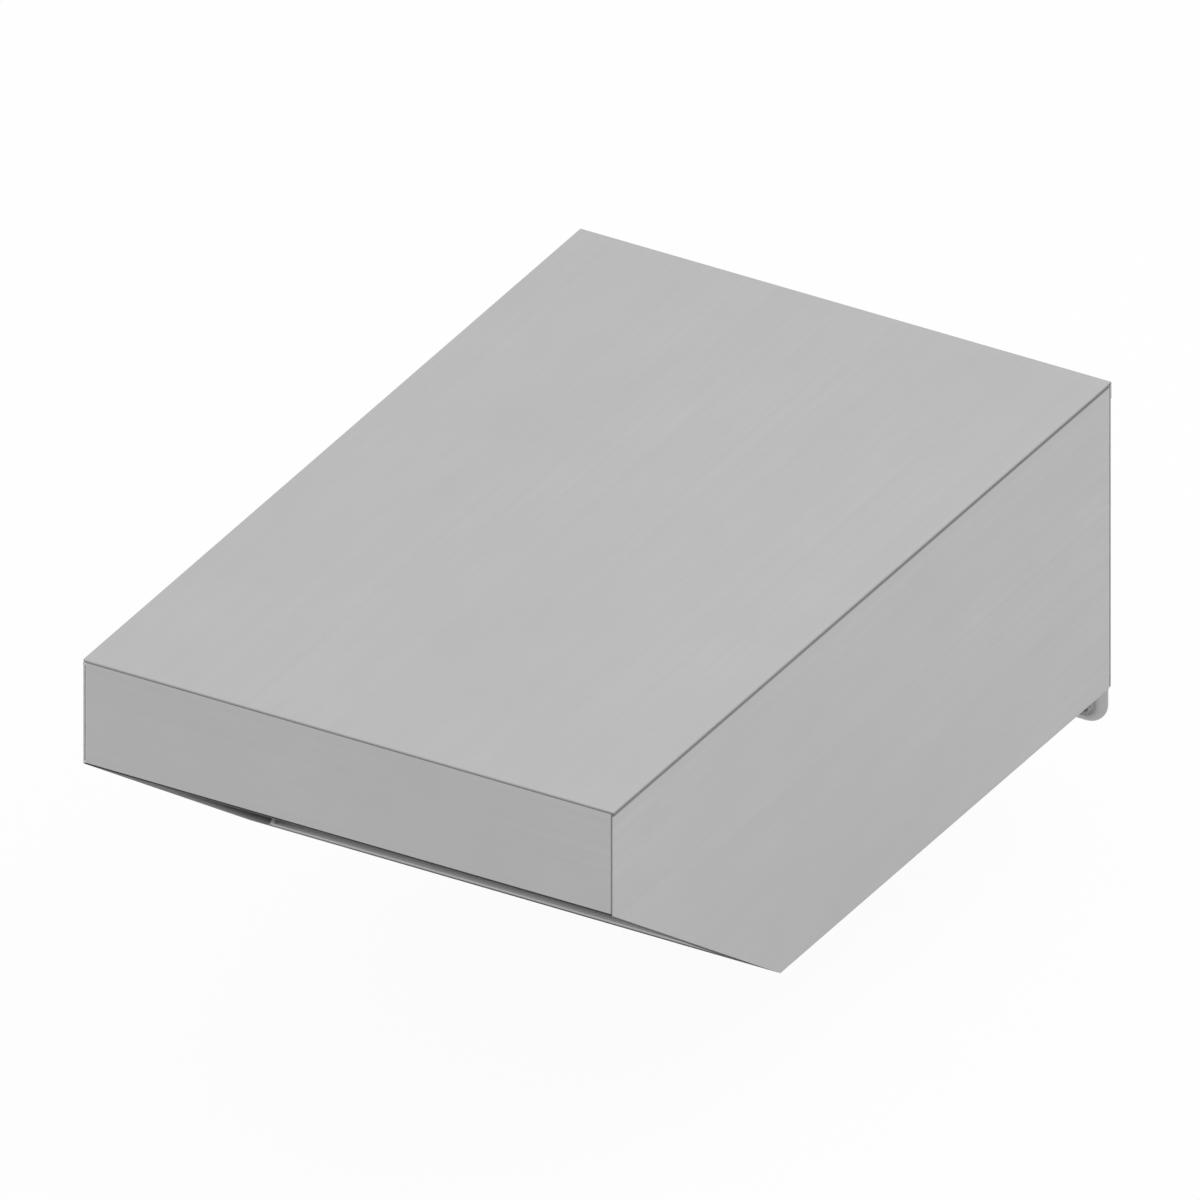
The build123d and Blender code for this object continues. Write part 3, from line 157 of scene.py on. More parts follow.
class Surface:
    """One procedural material, built node by node."""

    def __init__(self, name):
        self.material = bpy.data.materials.new(name)
        self.material.use_nodes = True
        self.tree = self.material.node_tree
        self.tree.nodes.clear()
        self.output = self.add("ShaderNodeOutputMaterial")
        self.shader = self.add("ShaderNodeBsdfPrincipled")
        self.feed(self.output.inputs["Surface"], self.shader.outputs[0])
        self.place = self.add("ShaderNodeTexCoord").outputs["Object"]

    def add(self, kind, **settings):
        """New node of a kind, with its settings."""
        made = self.tree.nodes.new(kind)
        for name, value in settings.items():
            setattr(made, name, value)
        return made

    def feed(self, socket, value):
        """Gives a socket a number, a colour or the output of another node."""
        if isinstance(value, (int, float)):
            socket.default_value = value
        elif isinstance(value, tuple):
            socket.default_value = (*value, 1.0)
        else:
            self.tree.links.new(value, socket)

    def noise(self, scale, stretch=(1, 1, 1), detail=2.0, rough=0.5):
        """Noise of so many blots a metre, drawn out where stretch is under 1."""
        mapping = self.add("ShaderNodeMapping")
        mapping.inputs["Scale"].default_value = stretch
        self.feed(mapping.inputs["Vector"], self.place)
        made = self.add("ShaderNodeTexNoise")
        for name, value in (("Scale", scale), ("Detail", detail), ("Roughness", rough)):
            self.feed(made.inputs[name], value)
        self.feed(made.inputs["Vector"], mapping.outputs[0])
        return made.outputs["Fac"]

    def cells(self, scale):
        """Cells, so many a metre."""
        made = self.add("ShaderNodeTexVoronoi")
        self.feed(made.inputs["Scale"], scale)
        self.feed(made.inputs["Vector"], self.place)
        return made.outputs

    def slanted(self):
        """Measures all later places along the slant and square to it instead of along Y and Z."""
        turned = self.add("ShaderNodeVectorRotate", rotation_type="X_AXIS")
        self.feed(turned.inputs["Angle"], SLOPE)
        self.feed(turned.inputs["Vector"], self.place)
        self.place = turned.outputs[0]

    def axis(self, letter):
        """One coordinate of the object, in metres."""
        made = self.add("ShaderNodeSeparateXYZ")
        self.feed(made.inputs[0], self.place)
        return made.outputs["xyz".index(letter)]

    def spread(self, value, low, high, start=0.3, end=0.7):
        """Value from start to end, as low to high."""
        made = self.add("ShaderNodeMapRange")
        self.feed(made.inputs["Value"], value)
        ends = {"From Min": start, "From Max": end, "To Min": low, "To Max": high}
        for name, number in ends.items():
            self.feed(made.inputs[name], number)
        return made.outputs[0]

    def blend(self, factor, first, second):
        """Colour between first and second."""
        made = self.add("ShaderNodeMix", data_type="RGBA")
        self.feed(made.inputs["Factor"], factor)
        self.feed(made.inputs[6], first)
        self.feed(made.inputs[7], second)
        return made.outputs[2]

    def calculate(self, operation, first, second=0.0):
        """Number that a Math node makes of first and second."""
        made = self.add("ShaderNodeMath", operation=operation)
        self.feed(made.inputs[0], first)
        self.feed(made.inputs[1], second)
        return made.outputs[0]

    def mix(self, factor, first, second):
        """Shader between first and second."""
        made = self.add("ShaderNodeMixShader")
        self.feed(made.inputs[0], factor)
        self.feed(made.inputs[1], first.outputs[0])
        self.feed(made.inputs[2], second.outputs[0])
        return made

    def coat(self, shade, rough, relief, depth):
        """Colour, roughness, and relief of so many metres from low to high."""
        self.feed(self.shader.inputs["Base Color"], shade)
        self.feed(self.shader.inputs["Roughness"], rough)
        bump = self.add("ShaderNodeBump")
        self.feed(bump.inputs["Strength"], 1.0)
        self.feed(bump.inputs["Distance"], depth)
        self.feed(bump.inputs["Height"], relief)
        self.feed(self.shader.inputs["Normal"], bump.outputs[0])
        return self.material

    def set(self, **values):
        """Plain values on the shader's own sockets."""
        for name, value in values.items():
            self.shader.inputs[name.replace("_", " ")].default_value = value
        return self


def tinted(tone, factor):
    """Colour made darker or lighter by a factor."""
    return tuple(channel * factor for channel in tone)


def brushed(name, tone, roughness, along, seams=(), slanted=False):
    """Ground and brushed sheet, its lines along one axis and its seams as axis, start, end and tone.

    A seam's shade turns to its tone from start to end, as painted shade or painted light.
    On a slanted sheet its axis may also be "w", which runs square into the slant.
    """
    surface = Surface(name).set(Metallic=1.0)
    places = {letter: surface.axis(letter) for letter, *_ in seams if letter != "w"}
    if slanted:
        surface.slanted()
        # painted shade: the dark specular tint dulls the slanted sheets seen edge-on
        surface.set(Specular_Tint=(*EDGE_ON_SHADE_TINT, 1.0))
        places["w"] = surface.axis("z")
    stretch = tuple(GRAIN_STRETCH if axis == along else 1.0 for axis in "xyz")
    lines = surface.noise(BRUSH_LINES, stretch, detail=3.0, rough=0.65)
    streaks = surface.noise(BRUSH_LINES / LINES_A_STREAK, stretch)
    clouds = surface.noise(5.0, detail=3.0)
    wipes = surface.noise(26.0, (1.0, 0.35, 1.0), detail=4.0, rough=0.6)
    grain = surface.spread(surface.calculate("MULTIPLY", lines, streaks), 0.0, 1.0, 0.12, 0.42)
    shade = surface.blend(grain, tinted(tone, 0.96), tinted(tone, 1.04))
    shade = surface.blend(surface.spread(clouds, 0.0, 1.0), shade, tinted(tone, 1.0 - BLOTS))
    # painted shade and painted light in the folds and in the opening
    for letter, start, end, painted_tone in seams:
        share = surface.spread(places[letter], 0.0, 1.0, start, end)
        shade = surface.blend(share, shade, painted_tone)
    rough = surface.calculate(
        "ADD",
        surface.spread(lines, roughness - 0.05, roughness + 0.05),
        surface.spread(wipes, -0.03, 0.04),
    )
    return surface.coat(shade, rough, lines, BRUSH_RELIEF)


def galvanised(name, tone):
    """Zinc-coated sheet with faint crystals."""
    surface = Surface(name).set(Metallic=1.0)
    crystals = surface.add("ShaderNodeSeparateColor")
    surface.feed(crystals.inputs[0], surface.cells(70.0)["Color"])
    shade = surface.blend(crystals.outputs[0], tinted(tone, 0.86), tinted(tone, 1.08))
    dust = surface.noise(14.0, detail=4.0)
    rough = surface.calculate(
        "ADD",
        surface.spread(crystals.outputs[1], 0.34, 0.5, 0.0, 1.0),
        surface.spread(dust, -0.02, 0.08),
    )
    return surface.coat(shade, rough, surface.noise(400.0, detail=3.0), 0.00002)


def drawn(name, tone, roughness=0.26):
    """Smooth drawn or rolled metal with fine marks."""
    surface = Surface(name).set(Metallic=1.0)
    marks = surface.noise(90.0, detail=5.0, rough=0.7)
    shade = surface.blend(surface.spread(marks, 0.0, 1.0), tinted(tone, 0.94), tinted(tone, 1.05))
    fine = surface.noise(900.0)
    rough = surface.calculate(
        "ADD",
        surface.spread(marks, roughness - 0.05, roughness + 0.07),
        surface.spread(fine, -0.02, 0.02),
    )
    return surface.coat(shade, rough, fine, 0.00001)


def moulded(name, tone, roughness, scale=1500.0, **values):
    """Moulded plastic, rubber or paint with a fine texture and a little dust."""
    surface = Surface(name).set(**values)
    dust = surface.noise(30.0, detail=5.0, rough=0.6)
    dusty = tuple(min(1.0, channel * 0.9 + 0.02) for channel in tone)
    shade = surface.blend(surface.spread(dust, 0.0, 1.0), tone, dusty)
    texture = surface.noise(scale)
    rough = surface.calculate(
        "ADD",
        surface.spread(dust, roughness - 0.04, roughness + 0.08),
        surface.spread(texture, -0.03, 0.03),
    )
    return surface.coat(shade, rough, texture, 0.00004)


def foam(name, tone):
    """Closed-cell foam strip."""
    surface = Surface(name)
    depth = surface.cells(900.0)["Distance"]
    walls = surface.spread(depth, 0.0, 1.0, 0.1, 0.6)
    shade = surface.blend(walls, tinted(tone, 0.6), tinted(tone, 1.3))
    return surface.coat(shade, surface.spread(depth, 0.8, 0.95, 0.0, 1.0), depth, 0.0003)


def slot_finishes():
    """Finish of each material slot of the record."""
    return {
        "casing_steel": brushed("casing_steel_x", SATIN_TONE, SATIN_ROUGHNESS, "x"),
        "inner_steel": galvanised("inner_sheet", (0.50, 0.51, 0.52)),
        "drawn_steel": drawn("drawn_steel", (0.55, 0.55, 0.55)),
        "louvre_steel": brushed("louvre_satin", (0.36, 0.36, 0.36), 0.52, "x"),
        "filter_steel": brushed("rolled_filter_steel", (0.52, 0.52, 0.52), 0.30, "y", slanted=True),
        "bright_steel": drawn("bright_steel", (0.56, 0.56, 0.57), 0.24),
        "bearing_steel": drawn("bearing_steel", (0.62, 0.62, 0.62), 0.14),
        "core_aluminium": drawn("core_aluminium", (0.74, 0.75, 0.76), 0.32),
        "wheel_aluminium": drawn("wheel_aluminium", (0.70, 0.71, 0.72), 0.34),
        "foam": foam("grey_foam", (0.05, 0.05, 0.052)),
        "seal_rubber": moulded("red_silicone", (0.42, 0.10, 0.06), 0.55),
        "magnet_ferrite": moulded("ferrite", (0.07, 0.07, 0.075), 0.6, Metallic=0.3),
        "black_plastic": moulded("black_plastic", (0.025, 0.025, 0.027), 0.45),
        "motor_black": moulded("black_paint", (0.03, 0.03, 0.033), 0.35, scale=500.0),
        "board_green": moulded("green_board", (0.03, 0.17, 0.07), 0.35),
        "pale_plastic": moulded("pale_nylon", (0.72, 0.72, 0.66), 0.4),
        "capacitor_shell": moulded("capacitor_shell", (0.76, 0.76, 0.74), 0.3),
        "brass": drawn("turned_brass", (0.72, 0.54, 0.26), 0.24),
    }


def node_finishes():
    """Finish of each node whose grain, tone or seams aren't those of its slot."""
    low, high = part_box("side_panel_right")
    top, rear = high.z, high.y
    low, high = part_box("fascia")
    front, side = low.y, high.x
    slant_face = SLANT_FOOT.y * math.sin(SLOPE)

    grain_y = brushed("casing_steel_y", SATIN_TONE, SATIN_ROUGHNESS, "y")
    # painted light at the rear fold, painted shade in the folds under the lid
    side_painted_folds = [
        ("y", rear - FOLD, rear - FOLD / 2, PAINTED_FOLD_LIGHT),
        ("z", top - 1.5 * FOLD, top - 0.6 * FOLD, LID_SEAM_SHADE),
    ]
    # painted light on the left side next to the fascia's left end
    groove = [("x", -side - GROOVE_START, -side - GROOVE_FULL, PAINTED_FOLD_LIGHT)]
    # painted shade at the fascia's right end, painted light at its left end
    fascia_painted_folds = [
        ("x", side - FOLD, side - FOLD / 3, SEAM_SHADE),
        ("x", FOLD - side, FOLD / 2 - side, LEFT_FOLD_LIGHT),
    ]
    # painted shade under the fascia and inside the opening
    slant_painted_shade = [
        ("y", front + FOLD, front + FOLD / 2, UNDER_FASCIA_SHADE),
        ("w", slant_face + RECESS_START, slant_face + RECESS_FULL, RECESS_SHADE),
    ]
    return {
        "top_lid": grain_y,
        "base_pan": grain_y,
        "side_panel_left": brushed(
            "casing_steel_left", SIDE_LIT_TONE, SATIN_ROUGHNESS, "y", side_painted_folds + groove
        ),
        "side_panel_right": brushed(
            "casing_steel_side", SIDE_LIT_TONE, SATIN_ROUGHNESS, "y", side_painted_folds
        ),
        "fascia": brushed("casing_steel_fascia", FRONT_LIT_TONE, SATIN_ROUGHNESS, "x", fascia_painted_folds),
        "intake_frame": brushed(
            "casing_steel_slant", SATIN_TONE, SATIN_ROUGHNESS, "x", slant_painted_shade, slanted=True
        ),
        "drain_elbow": drawn("drain_steel", (0.42, 0.42, 0.42), 0.36),
        "drain_pipe": drawn("pipe_steel", (0.42, 0.42, 0.42), 0.36),
    }


def finish_nodes():
    """Gives every node of the frame its finish, and returns the finishes by slot."""
    by_slot = slot_finishes()
    by_node = node_finishes()
    slots = {part["node"]: part["material_slot"] for part in frame["record"]["subparts"]}
    for name, thing in nodes.items():
        for place in thing.material_slots:
            place.material = by_node.get(name, by_slot[slots[name]])
    return by_slot


class Model:
    """One visible piece, put together from turned bodies and flat slabs."""

    def __init__(self, name):
        self.name = name
        self.mesh = bmesh.new()

    def spin(self, rings, place, steps=36, hollow=False):
        """Turned body from rings of radius and height about local Z, in millimetres.

        A radius may be a function of the angle. The last ring joins the first where it is hollow.
        """
        loops = []
        for radius, height in rings:
            loop = []
            for number in range(steps):
                angle = 2 * math.pi * number / steps
                reach = radius(angle) if callable(radius) else radius
                point = Vector((reach * math.cos(angle), reach * math.sin(angle), height))
                loop.append(self.mesh.verts.new(place @ (point * MM)))
            loops.append(loop)
        pairs = list(zip(loops, loops[1:]))
        if hollow:
            pairs.append((loops[-1], loops[0]))
        else:
            self.mesh.faces.new(loops[0])
            self.mesh.faces.new(loops[-1])
        for near, far in pairs:
            for number in range(steps):
                other = (number + 1) % steps
                self.mesh.faces.new((near[number], near[other], far[other], far[number]))

    def slab(self, outline, low, high, rounding):
        """Flat outline of X and Y carried from low to high in Z, its edges rounded; all in metres."""
        loops = [[self.mesh.verts.new((x, y, z)) for x, y in outline] for z in (low, high)]
        faces = [self.mesh.faces.new(loop) for loop in loops]
        for number in range(len(outline)):
            other = (number + 1) % len(outline)
            corners = (loops[0][number], loops[0][other], loops[1][other], loops[1][number])
            faces.append(self.mesh.faces.new(corners))
        edges = list({edge for face in faces for edge in face.edges})
        bmesh.ops.bevel(
            self.mesh, geom=edges, offset=rounding, segments=3, profile=0.5, affect="EDGES"
        )

    def finish(self, material, body, stands_for=None, slot=None):
        """Puts the piece in the scene, where it moves with a body of the frame."""
        bmesh.ops.recalc_face_normals(self.mesh, faces=self.mesh.faces)
        for face in self.mesh.faces:
            face.smooth = True
        for edge in self.mesh.edges:
            edge.smooth = edge.calc_face_angle(0.0) < SHARP_EDGE
        data = bpy.data.meshes.new(self.name)
        self.mesh.to_mesh(data)
        self.mesh.free()
        data.materials.append(material)
        made = bpy.data.objects.new(self.name, data)
        bpy.context.scene.collection.objects.link(made)
        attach(made, body)
        if stands_for:
            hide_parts(stands_for)
        return made


def hexagon(radius, limit=math.inf):
    """Reach of a hexagon by angle, from its corners' radius and no farther than limit."""
    half = math.radians(30)

    def reach(angle):
        off_corner = (angle + half) % (2 * half) - half
        side = radius * math.cos(half) / math.cos(half - abs(off_corner))
        return min(side, limit)

    return reach


def waved(radius, depth, count):
    """A round radius with count hollows of that depth."""
    return lambda angle: radius - depth * (1 - math.cos(count * angle)) / 2


def threaded(radius, low, high, pitch=0.8, depth=0.35):
    """Rings of a thread from low to high."""
    turns = max(1, round((high - low) / pitch))
    step = (high - low) / turns
    rings = []
    for number in range(turns):
        start = low + number * step
        rings += [(radius - depth, start), (radius, start + step / 2)]
    return rings + [(radius - depth, high)]


def round_wire(radius, height, thickness, steps=12):
    """Section of a wire ring, as rings of radius and height."""
    turns = [2 * math.pi * number / steps for number in range(steps)]
    return [(radius + thickness * math.cos(t), height + thickness * math.sin(t)) for t in turns]


def rectangle(low_x, low_y, high_x, high_y):
    """Corners of a rectangle in X and Y."""
    return [(low_x, low_y), (high_x, low_y), (high_x, high_y), (low_x, high_y)]


def behind(low, high, y):
    """Place at y behind the middle of a box, with local Z to the rear."""
    return Matrix.Translation(((low.x + high.x) / 2, y, (low.z + high.z) / 2)) @ REAR_FACE


def on_lip(x, v):
    """Place on a filter's front face, with local Z outwards."""
    point = SLANT_FOOT + UP_SLOPE * v + OUTWARDS * LIP_FACE
    point.x = x
    return Matrix.Translation(point) @ OUTWARDS.to_track_quat("Z", "X").to_matrix().to_4x4()


def loose_boxes(node):
    """Lowest and highest corner of each separate body of a CAD node."""
    thing = nodes[node]
    spots = [tuple(round(c, 6) for c in thing.matrix_world @ v.co) for v in thing.data.vertices]
    link = {spot: spot for spot in spots}

    def root(spot):
        while link[spot] != spot:
            link[spot] = link[link[spot]]
            spot = link[spot]
        return spot

    for face in thing.data.polygons:
        first = spots[face.vertices[0]]
        for index in face.vertices:
            link[root(spots[index])] = root(first)
    groups = {}
    for spot in link:
        groups.setdefault(root(spot), []).append(spot)
    boxes = []
    for group in groups.values():
        low = Vector([min(spot[axis] for spot in group) for axis in range(3)])
        high = Vector([max(spot[axis] for spot in group) for axis in range(3)])
        boxes.append((low, high))
    return boxes


def screws(node, name, finish):
    """Pan-head screws with a six-lobed recess, in place of a node's plain ones."""
    shank = 2.0
    tall = 2.4
    model = Model(name)
    for low, high in loose_boxes(node):
        head = (high.x - low.x) / 2 / MM
        length = (high.y - low.y) / MM - tall
        rings = [
            (1.1, -length),
            *threaded(shank, 0.4 - length, -0.2),
            (shank, 0.0),
            (head, 0.0),
            (head, 0.55),
            (head * 0.97, 1.15),
            (head * 0.88, 1.75),
            (head * 0.73, 2.2),
            (head * 0.58, tall),
            (waved(1.75, 0.4, 6), tall),
            (waved(1.6, 0.4, 6), 1.1),
            (0.3, 0.9),
        ]
        model.spin(rings, behind(low, high, high.y - tall * MM), steps=48)
    model.finish(finish, "casing", node, "bright_steel")


def gland(plastic, rubber):
    """Cable gland with a wrench hexagon, a ribbed cap, its lock nut and the seal in its mouth."""
    bore = 4.5
    cap_height = 18.0
    rib_count = 20
    low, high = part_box("cable_gland")
    panel = high.y - cap_height * MM
    tail = (low.y - panel) / MM
    place = behind(low, high, panel)
    ribs = waved(10.5, 0.7, rib_count)
    body = Model("gland_body")
    rings = [
        (bore, tail),
        (7.2, tail),
        *threaded(7.7, tail + 0.3, -0.6, pitch=1.5, depth=0.5),
        (7.7, 0.0),
        (hexagon(11.9, 11.2), 0.0),
        (hexagon(11.9), 0.5),
        (hexagon(11.9), 4.3),
        (hexagon(11.9, 11.0), 5.0),
        (9.6, 5.0),
        (9.6, 5.7),
        (waved(10.2, 0.5, rib_count), 5.8),
        (ribs, 6.3),
        (ribs, 12.6),
        (waved(10.0, 0.4, rib_count), 13.6),
        (9.5, 14.6),
        (8.7, 16.0),
        (7.6, 17.2),
        (6.6, 17.8),
        (6.1, cap_height),
        (5.7, 17.8),
        (5.6, 12.0),
        (bore, 12.0),
    ]
    body.spin(rings, place, steps=120, hollow=True)
    lock_nut = [
        (7.75, -1.25),
        (hexagon(11.4, 11.0), -1.25),
        (hexagon(11.4), -1.6),
        (hexagon(11.4), -4.6),
        (hexagon(11.4, 10.8), -5.1),
        (7.75, -5.1),
    ]
    body.spin(lock_nut, place, steps=120, hollow=True)
    body.finish(plastic, "casing", "cable_gland", "black_plastic")

    seal = Model("gland_seal")
    rings = [(bore, 12.1), (5.5, 12.1), (5.5, 16.8), (5.2, 17.2), (4.8, 17.2), (bore, 16.8)]
    seal.spin(rings, place, steps=60, hollow=True)
    seal.finish(rubber, "casing")


def filter_details(steel, weld):
    """Blind rivets that hold the baffles in each filter's frame, and the welds of its handle."""
    dome = [
        (2.5, 0.0),
        (2.45, 0.25),
        (2.0, 0.62),
        (1.3, 0.82),
        (0.95, 0.85),
        (0.85, 0.5),
        (0.3, 0.45),
    ]
    bead = [
        (3.02, 0.0),
        (waved(4.4, 0.3, 13), 0.0),
        (waved(4.2, 0.3, 13), 0.5),
        (waved(3.7, 0.2, 13), 0.95),
        (3.02, 1.3),
    ]
    for side in ("left", "right"):
        low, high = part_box("filter_frame_" + side)
        middle = (low.x + high.x) / 2
        heads = Model("filter_rivets_" + side)
        for v in (FILTER_LOW + LIP_MIDDLE, FILTER_HIGH - LIP_MIDDLE):
            for offset in RIVET_OFFSETS:
                heads.spin(dome, on_lip(middle + offset * MM, v), steps=28)
        heads.finish(steel, "filter_" + side)
        low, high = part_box("filter_pull_" + side)
        welds = Model("pull_welds_" + side)
        for x in (low.x + PULL_RADIUS, high.x - PULL_RADIUS):
            welds.spin(bead, on_lip(x, FILTER_LOW + LIP_MIDDLE), steps=78, hollow=True)
        welds.finish(weld, "filter_" + side)


def guard(steel):
    """Finger guard bent from round wire: four rings on four rods, each with an eye for its screw."""
    wire = 1.2
    eye_wire = 1.1
    screw_offset = 41.25  # across and up from the guard's middle
    reach = math.hypot(screw_offset, screw_offset)
    low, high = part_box("cooling_fan_guard")
    place = behind(low, high, low.y)
    body = Model("finger_guard")
    for radius in (12.8, 22.8, 32.8, 42.8):
        body.spin(round_wire(radius, 3 * wire, wire), place, steps=96, hollow=True)
    rings = [(0.6, 11.6), (1.0, 11.8), (wire, 12.2), (wire, reach - 4.0), (0.9, reach - 3.0)]
    for turn in (45, 135, 225, 315):
        ray = place @ Matrix.Rotation(math.radians(turn), 4, "Z")
        rod = ray @ Matrix.Translation((0, 0, wire * MM)) @ Matrix.Rotation(math.radians(90), 4, "Y")
        body.spin(rings, rod, steps=16)
        eye = ray @ Matrix.Translation((reach * MM, 0, 0))
        body.spin(round_wire(3.3, wire, eye_wire), eye, steps=40, hollow=True)
    body.finish(steel, "casing", "cooling_fan_guard", "bright_steel")


def union_nut(brass):
    """Union nut with both faces chamfered and the clamping ring in its mouth."""
    bore = 8.65
    corner = 15.0
    low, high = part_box("drain_nut")
    nut = Model("union_nut")
    rings = [
        (bore, 0.0),
        (hexagon(corner, 14.0), 0.0),
        (hexagon(corner), 0.7),
        (hexagon(corner), 6.7),
        (hexagon(corner, 14.1), 7.4),
        (hexagon(corner, 12.9), 8.0),
        (10.8, 8.0),
        (10.5, 7.3),
        (9.8, 7.2),
        (9.4, 7.8),
        (bore, 7.8),
    ]
    nut.spin(rings, behind(low, high, low.y), steps=120, hollow=True)
    nut.finish(brass, "casing", "drain_nut", "brass")


def corner_welds(weld):
    """Weld dots that close the corners where top and rear flange of each side meet."""
    drop = [(0.2, -1.05), (0.75, -0.75), (1.02, -0.2), (0.98, 0.3), (0.65, 0.8), (0.2, 1.02)]
    inset = 1.1 * MM
    side_inset = 1.12 * MM
    dots = Model("corner_welds")
    for node, sign in (("side_panel_left", -1), ("side_panel_right", 1)):
        low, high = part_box(node)
        x = high.x if sign > 0 else low.x
        spot = Vector((x - sign * side_inset, high.y - inset, high.z - inset))
        dots.spin(drop, Matrix.Translation(spot), steps=20)
    dots.finish(weld, "casing")


def lid_strip(rubber):
    """The lid's gasket, along both sides and the front."""
    wide = 12 * MM
    low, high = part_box("lid_gasket")
    outline = [
        (low.x, low.y),
        (high.x, low.y),
        (high.x, high.y),
        (high.x - wide, high.y),
        (high.x - wide, low.y + wide),
        (low.x + wide, low.y + wide),
        (low.x + wide, high.y),
        (low.x, high.y),
    ]
    strip = Model("lid_strip")
    strip.slab(outline, low.z, high.z, 0.3 * MM)
    strip.finish(rubber, "casing", "lid_gasket", "foam")


def duct_foam(finish):
    """Foam strips between the ducts and the lid, with rounded edges."""
    strips = Model("duct_foam")
    for low, high in loose_boxes("lid_seals"):
        strips.slab(rectangle(low.x, low.y, high.x, high.y), low.z, high.z, 1.6 * MM)
    strips.finish(finish, "casing", "lid_seals", "foam")


def core_foam(finish):
    """Foam frames beside the condenser, each of four strips."""
    wide = 10 * MM
    frames = Model("core_foam")
    for low, high in loose_boxes("core_seals"):
        for (start_y, start_z), (end_y, end_z) in (
            ((low.y, low.z), (high.y, low.z + wide)),
            ((low.y, high.z - wide), (high.y, high.z)),
            ((low.y, low.z + wide), (low.y + wide, high.z - wide)),
            ((high.y - wide, low.z + wide), (high.y, high.z - wide)),
        ):
            frames.slab(rectangle(low.x, start_y, high.x, end_y), start_z, end_z, 0.8 * MM)
    frames.finish(finish, "casing", "core_seals", "foam")


def steam_ring(silicone):
    """Flat ring under the steam spigot's flange."""
    bore, rim, thick = 31.0, 46.9, 2.0
    low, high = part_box("steam_gasket")
    place = Matrix.Translation(((low.x + high.x) / 2, (low.y + high.y) / 2, low.z))
    section = [
        (bore, 0.5),
        (31.4, 0.0),
        (46.6, 0.0),
        (rim, 0.4),
        (rim, 1.6),
        (46.6, thick),
        (31.4, thick),
        (bore, 1.5),
    ]
    ring = Model("steam_ring")
    ring.spin(section, place, steps=96, hollow=True)
    ring.finish(silicone, "casing", "steam_gasket", "seal_rubber")


def fittings(finishes):
    """The modelled pieces."""
    for node, name in (
        ("rear_screws", "casing_screws"),
        ("cooling_fan_screws", "guard_screws"),
        ("motor_screws", "motor_plate_screws"),
    ):
        screws(node, name, finishes["bright_steel"])
    weld = drawn("weld_steel", (0.40, 0.40, 0.41), 0.34)
    gland(finishes["black_plastic"], moulded("seal_black", (0.035, 0.035, 0.036), 0.6))
    filter_details(finishes["bright_steel"], weld)
    guard(finishes["bright_steel"])
    union_nut(finishes["brass"])
    corner_welds(weld)
    lid_strip(moulded("grey_silicone", (0.28, 0.28, 0.28), 0.6))
    duct_foam(finishes["foam"])
    core_foam(finishes["foam"])
    steam_ring(finishes["seal_rubber"])


def floor_finish():
    """White paint that keeps a faint shadow and lets the camera look up through it.

    Metal mirrors its glow only from outside a square under the hood, a painted shadow in what the
    metal mirrors.
    """
    paint = Surface("floor_paint").set(Roughness=0.9, Specular_IOR_Level=0.0)
    cloud = paint.spread(paint.noise(1.5), 0.0, 1.0)
    shade = paint.blend(cloud, FLOOR_WHITE, tinted(FLOOR_WHITE, 0.99))
    paint.feed(paint.shader.inputs["Base Color"], shade)
    glow = paint.add("ShaderNodeEmission")
    rays = paint.add("ShaderNodeLightPath").outputs
    mirrored = paint.calculate("MAXIMUM", rays["Is Glossy Ray"], rays["Is Transmission Ray"])
    # painted shadow: under the hood the metal mirrors the floor without its glow
    across = paint.calculate("ABSOLUTE", paint.axis("x"))
    along = paint.calculate("ABSOLUTE", paint.calculate("ADD", paint.axis("y"), -SHADOW_MIDDLE_Y))
    away = paint.calculate("MAXIMUM", across, along)
    outside = paint.spread(away, 0.0, 1.0, GLOW_START, GLOW_FULL)
    mirrored = paint.calculate("MULTIPLY", mirrored, outside)
    share = paint.calculate(
        "MAXIMUM",
        paint.calculate("MULTIPLY", rays["Is Camera Ray"], FLOOR_GLOW),
        paint.calculate("MULTIPLY", mirrored, MIRRORED_GLOW),
    )
    bright = paint.mix(share, paint.shader, glow)
    below = paint.add("ShaderNodeNewGeometry").outputs["Backfacing"]
    clear = paint.add("ShaderNodeBsdfTransparent")
    both = paint.mix(below, bright, clear)
    paint.feed(paint.output.inputs["Surface"], both.outputs[0])
    return paint.material


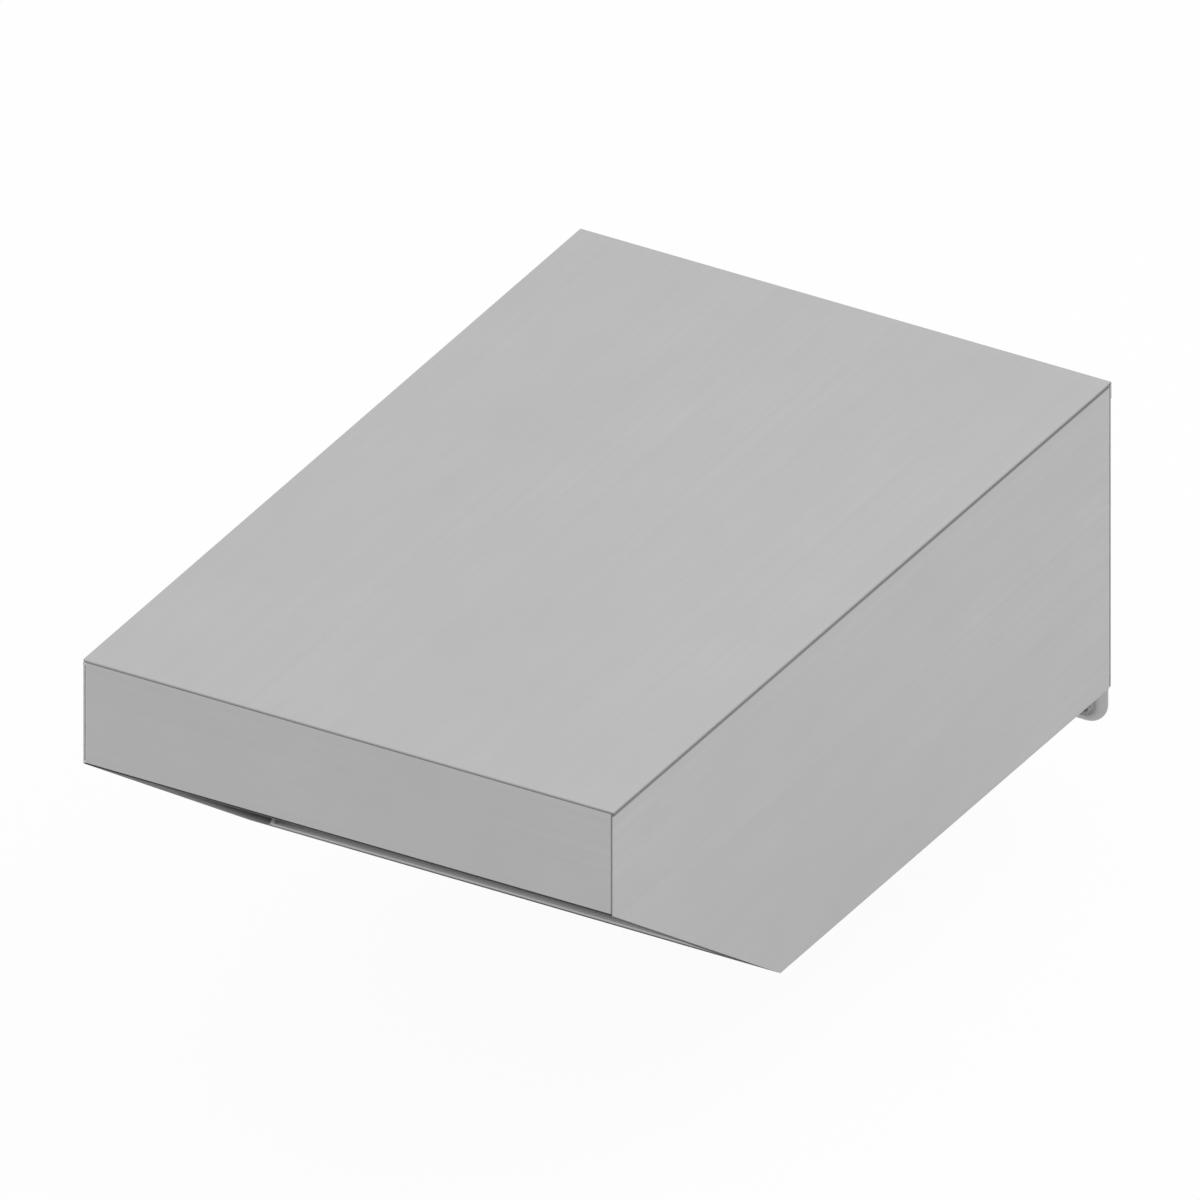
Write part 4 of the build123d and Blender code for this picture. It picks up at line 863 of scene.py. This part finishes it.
def floor():
    """Wide plain floor."""
    half = FLOOR_SIZE / 2
    sheet = bpy.data.meshes.new("floor")
    corners = [(x, y, FLOOR_Z) for x, y in rectangle(-half, -half, half, half)]
    sheet.from_pydata(corners, [], [(0, 1, 2, 3)])
    made = bpy.data.objects.new("floor", sheet)
    bpy.context.scene.collection.objects.link(made)
    sheet.materials.append(floor_finish())


def studio():
    """Even white surroundings."""
    world = bpy.data.worlds.new("studio")
    world.use_nodes = True
    tree = world.node_tree
    tree.nodes.clear()
    out = tree.nodes.new("ShaderNodeOutputWorld")
    strength = {}
    for name, value in (("lighting", WORLD_LIGHT), ("backdrop", 1.0)):
        strength[name] = tree.nodes.new("ShaderNodeBackground")
        strength[name].inputs[0].default_value = (1.0, 1.0, 1.0, 1.0)
        strength[name].inputs[1].default_value = value
    path = tree.nodes.new("ShaderNodeLightPath")
    seen = path.outputs["Is Camera Ray"]
    for kind in ("Is Glossy Ray", "Is Transmission Ray"):
        either = tree.nodes.new("ShaderNodeMath")
        either.operation = "MAXIMUM"
        tree.links.new(seen, either.inputs[0])
        tree.links.new(path.outputs[kind], either.inputs[1])
        seen = either.outputs[0]
    pick = tree.nodes.new("ShaderNodeMixShader")
    tree.links.new(seen, pick.inputs[0])
    tree.links.new(strength["lighting"].outputs[0], pick.inputs[1])
    tree.links.new(strength["backdrop"].outputs[0], pick.inputs[2])
    tree.links.new(pick.outputs[0], out.inputs[0])
    bpy.context.scene.world = world


def lamp(name, kind, where, power, **shape):
    """Soft lamp that looks at the origin."""
    data = bpy.data.lights.new(name, kind)
    data.energy = power
    for setting, value in shape.items():
        setattr(data, setting, value)
    made = bpy.data.objects.new(name, data)
    made.location = where
    made.rotation_euler = (-Vector(where)).to_track_quat("-Z", "Y").to_euler()
    bpy.context.scene.collection.objects.link(made)


def lamps():
    """A wide sun from behind, a soft lamp at the rear right and a weak one at the front left."""
    lamp("overhead", "SUN", where=(-1.3, 2.25, 1.5), power=0.127, angle=math.radians(70))
    lamp("key", "AREA", where=(1.3, 0.9, 1.9), power=13.0, shape="DISK", size=2.0)
    lamp("fill", "AREA", where=(-2.2, -2.0, 1.8), power=6.0, shape="DISK", size=2.2)


camera()
fittings(finish_nodes())
floor()
studio()
lamps()
bpy.context.scene.view_settings.view_transform = "Standard"
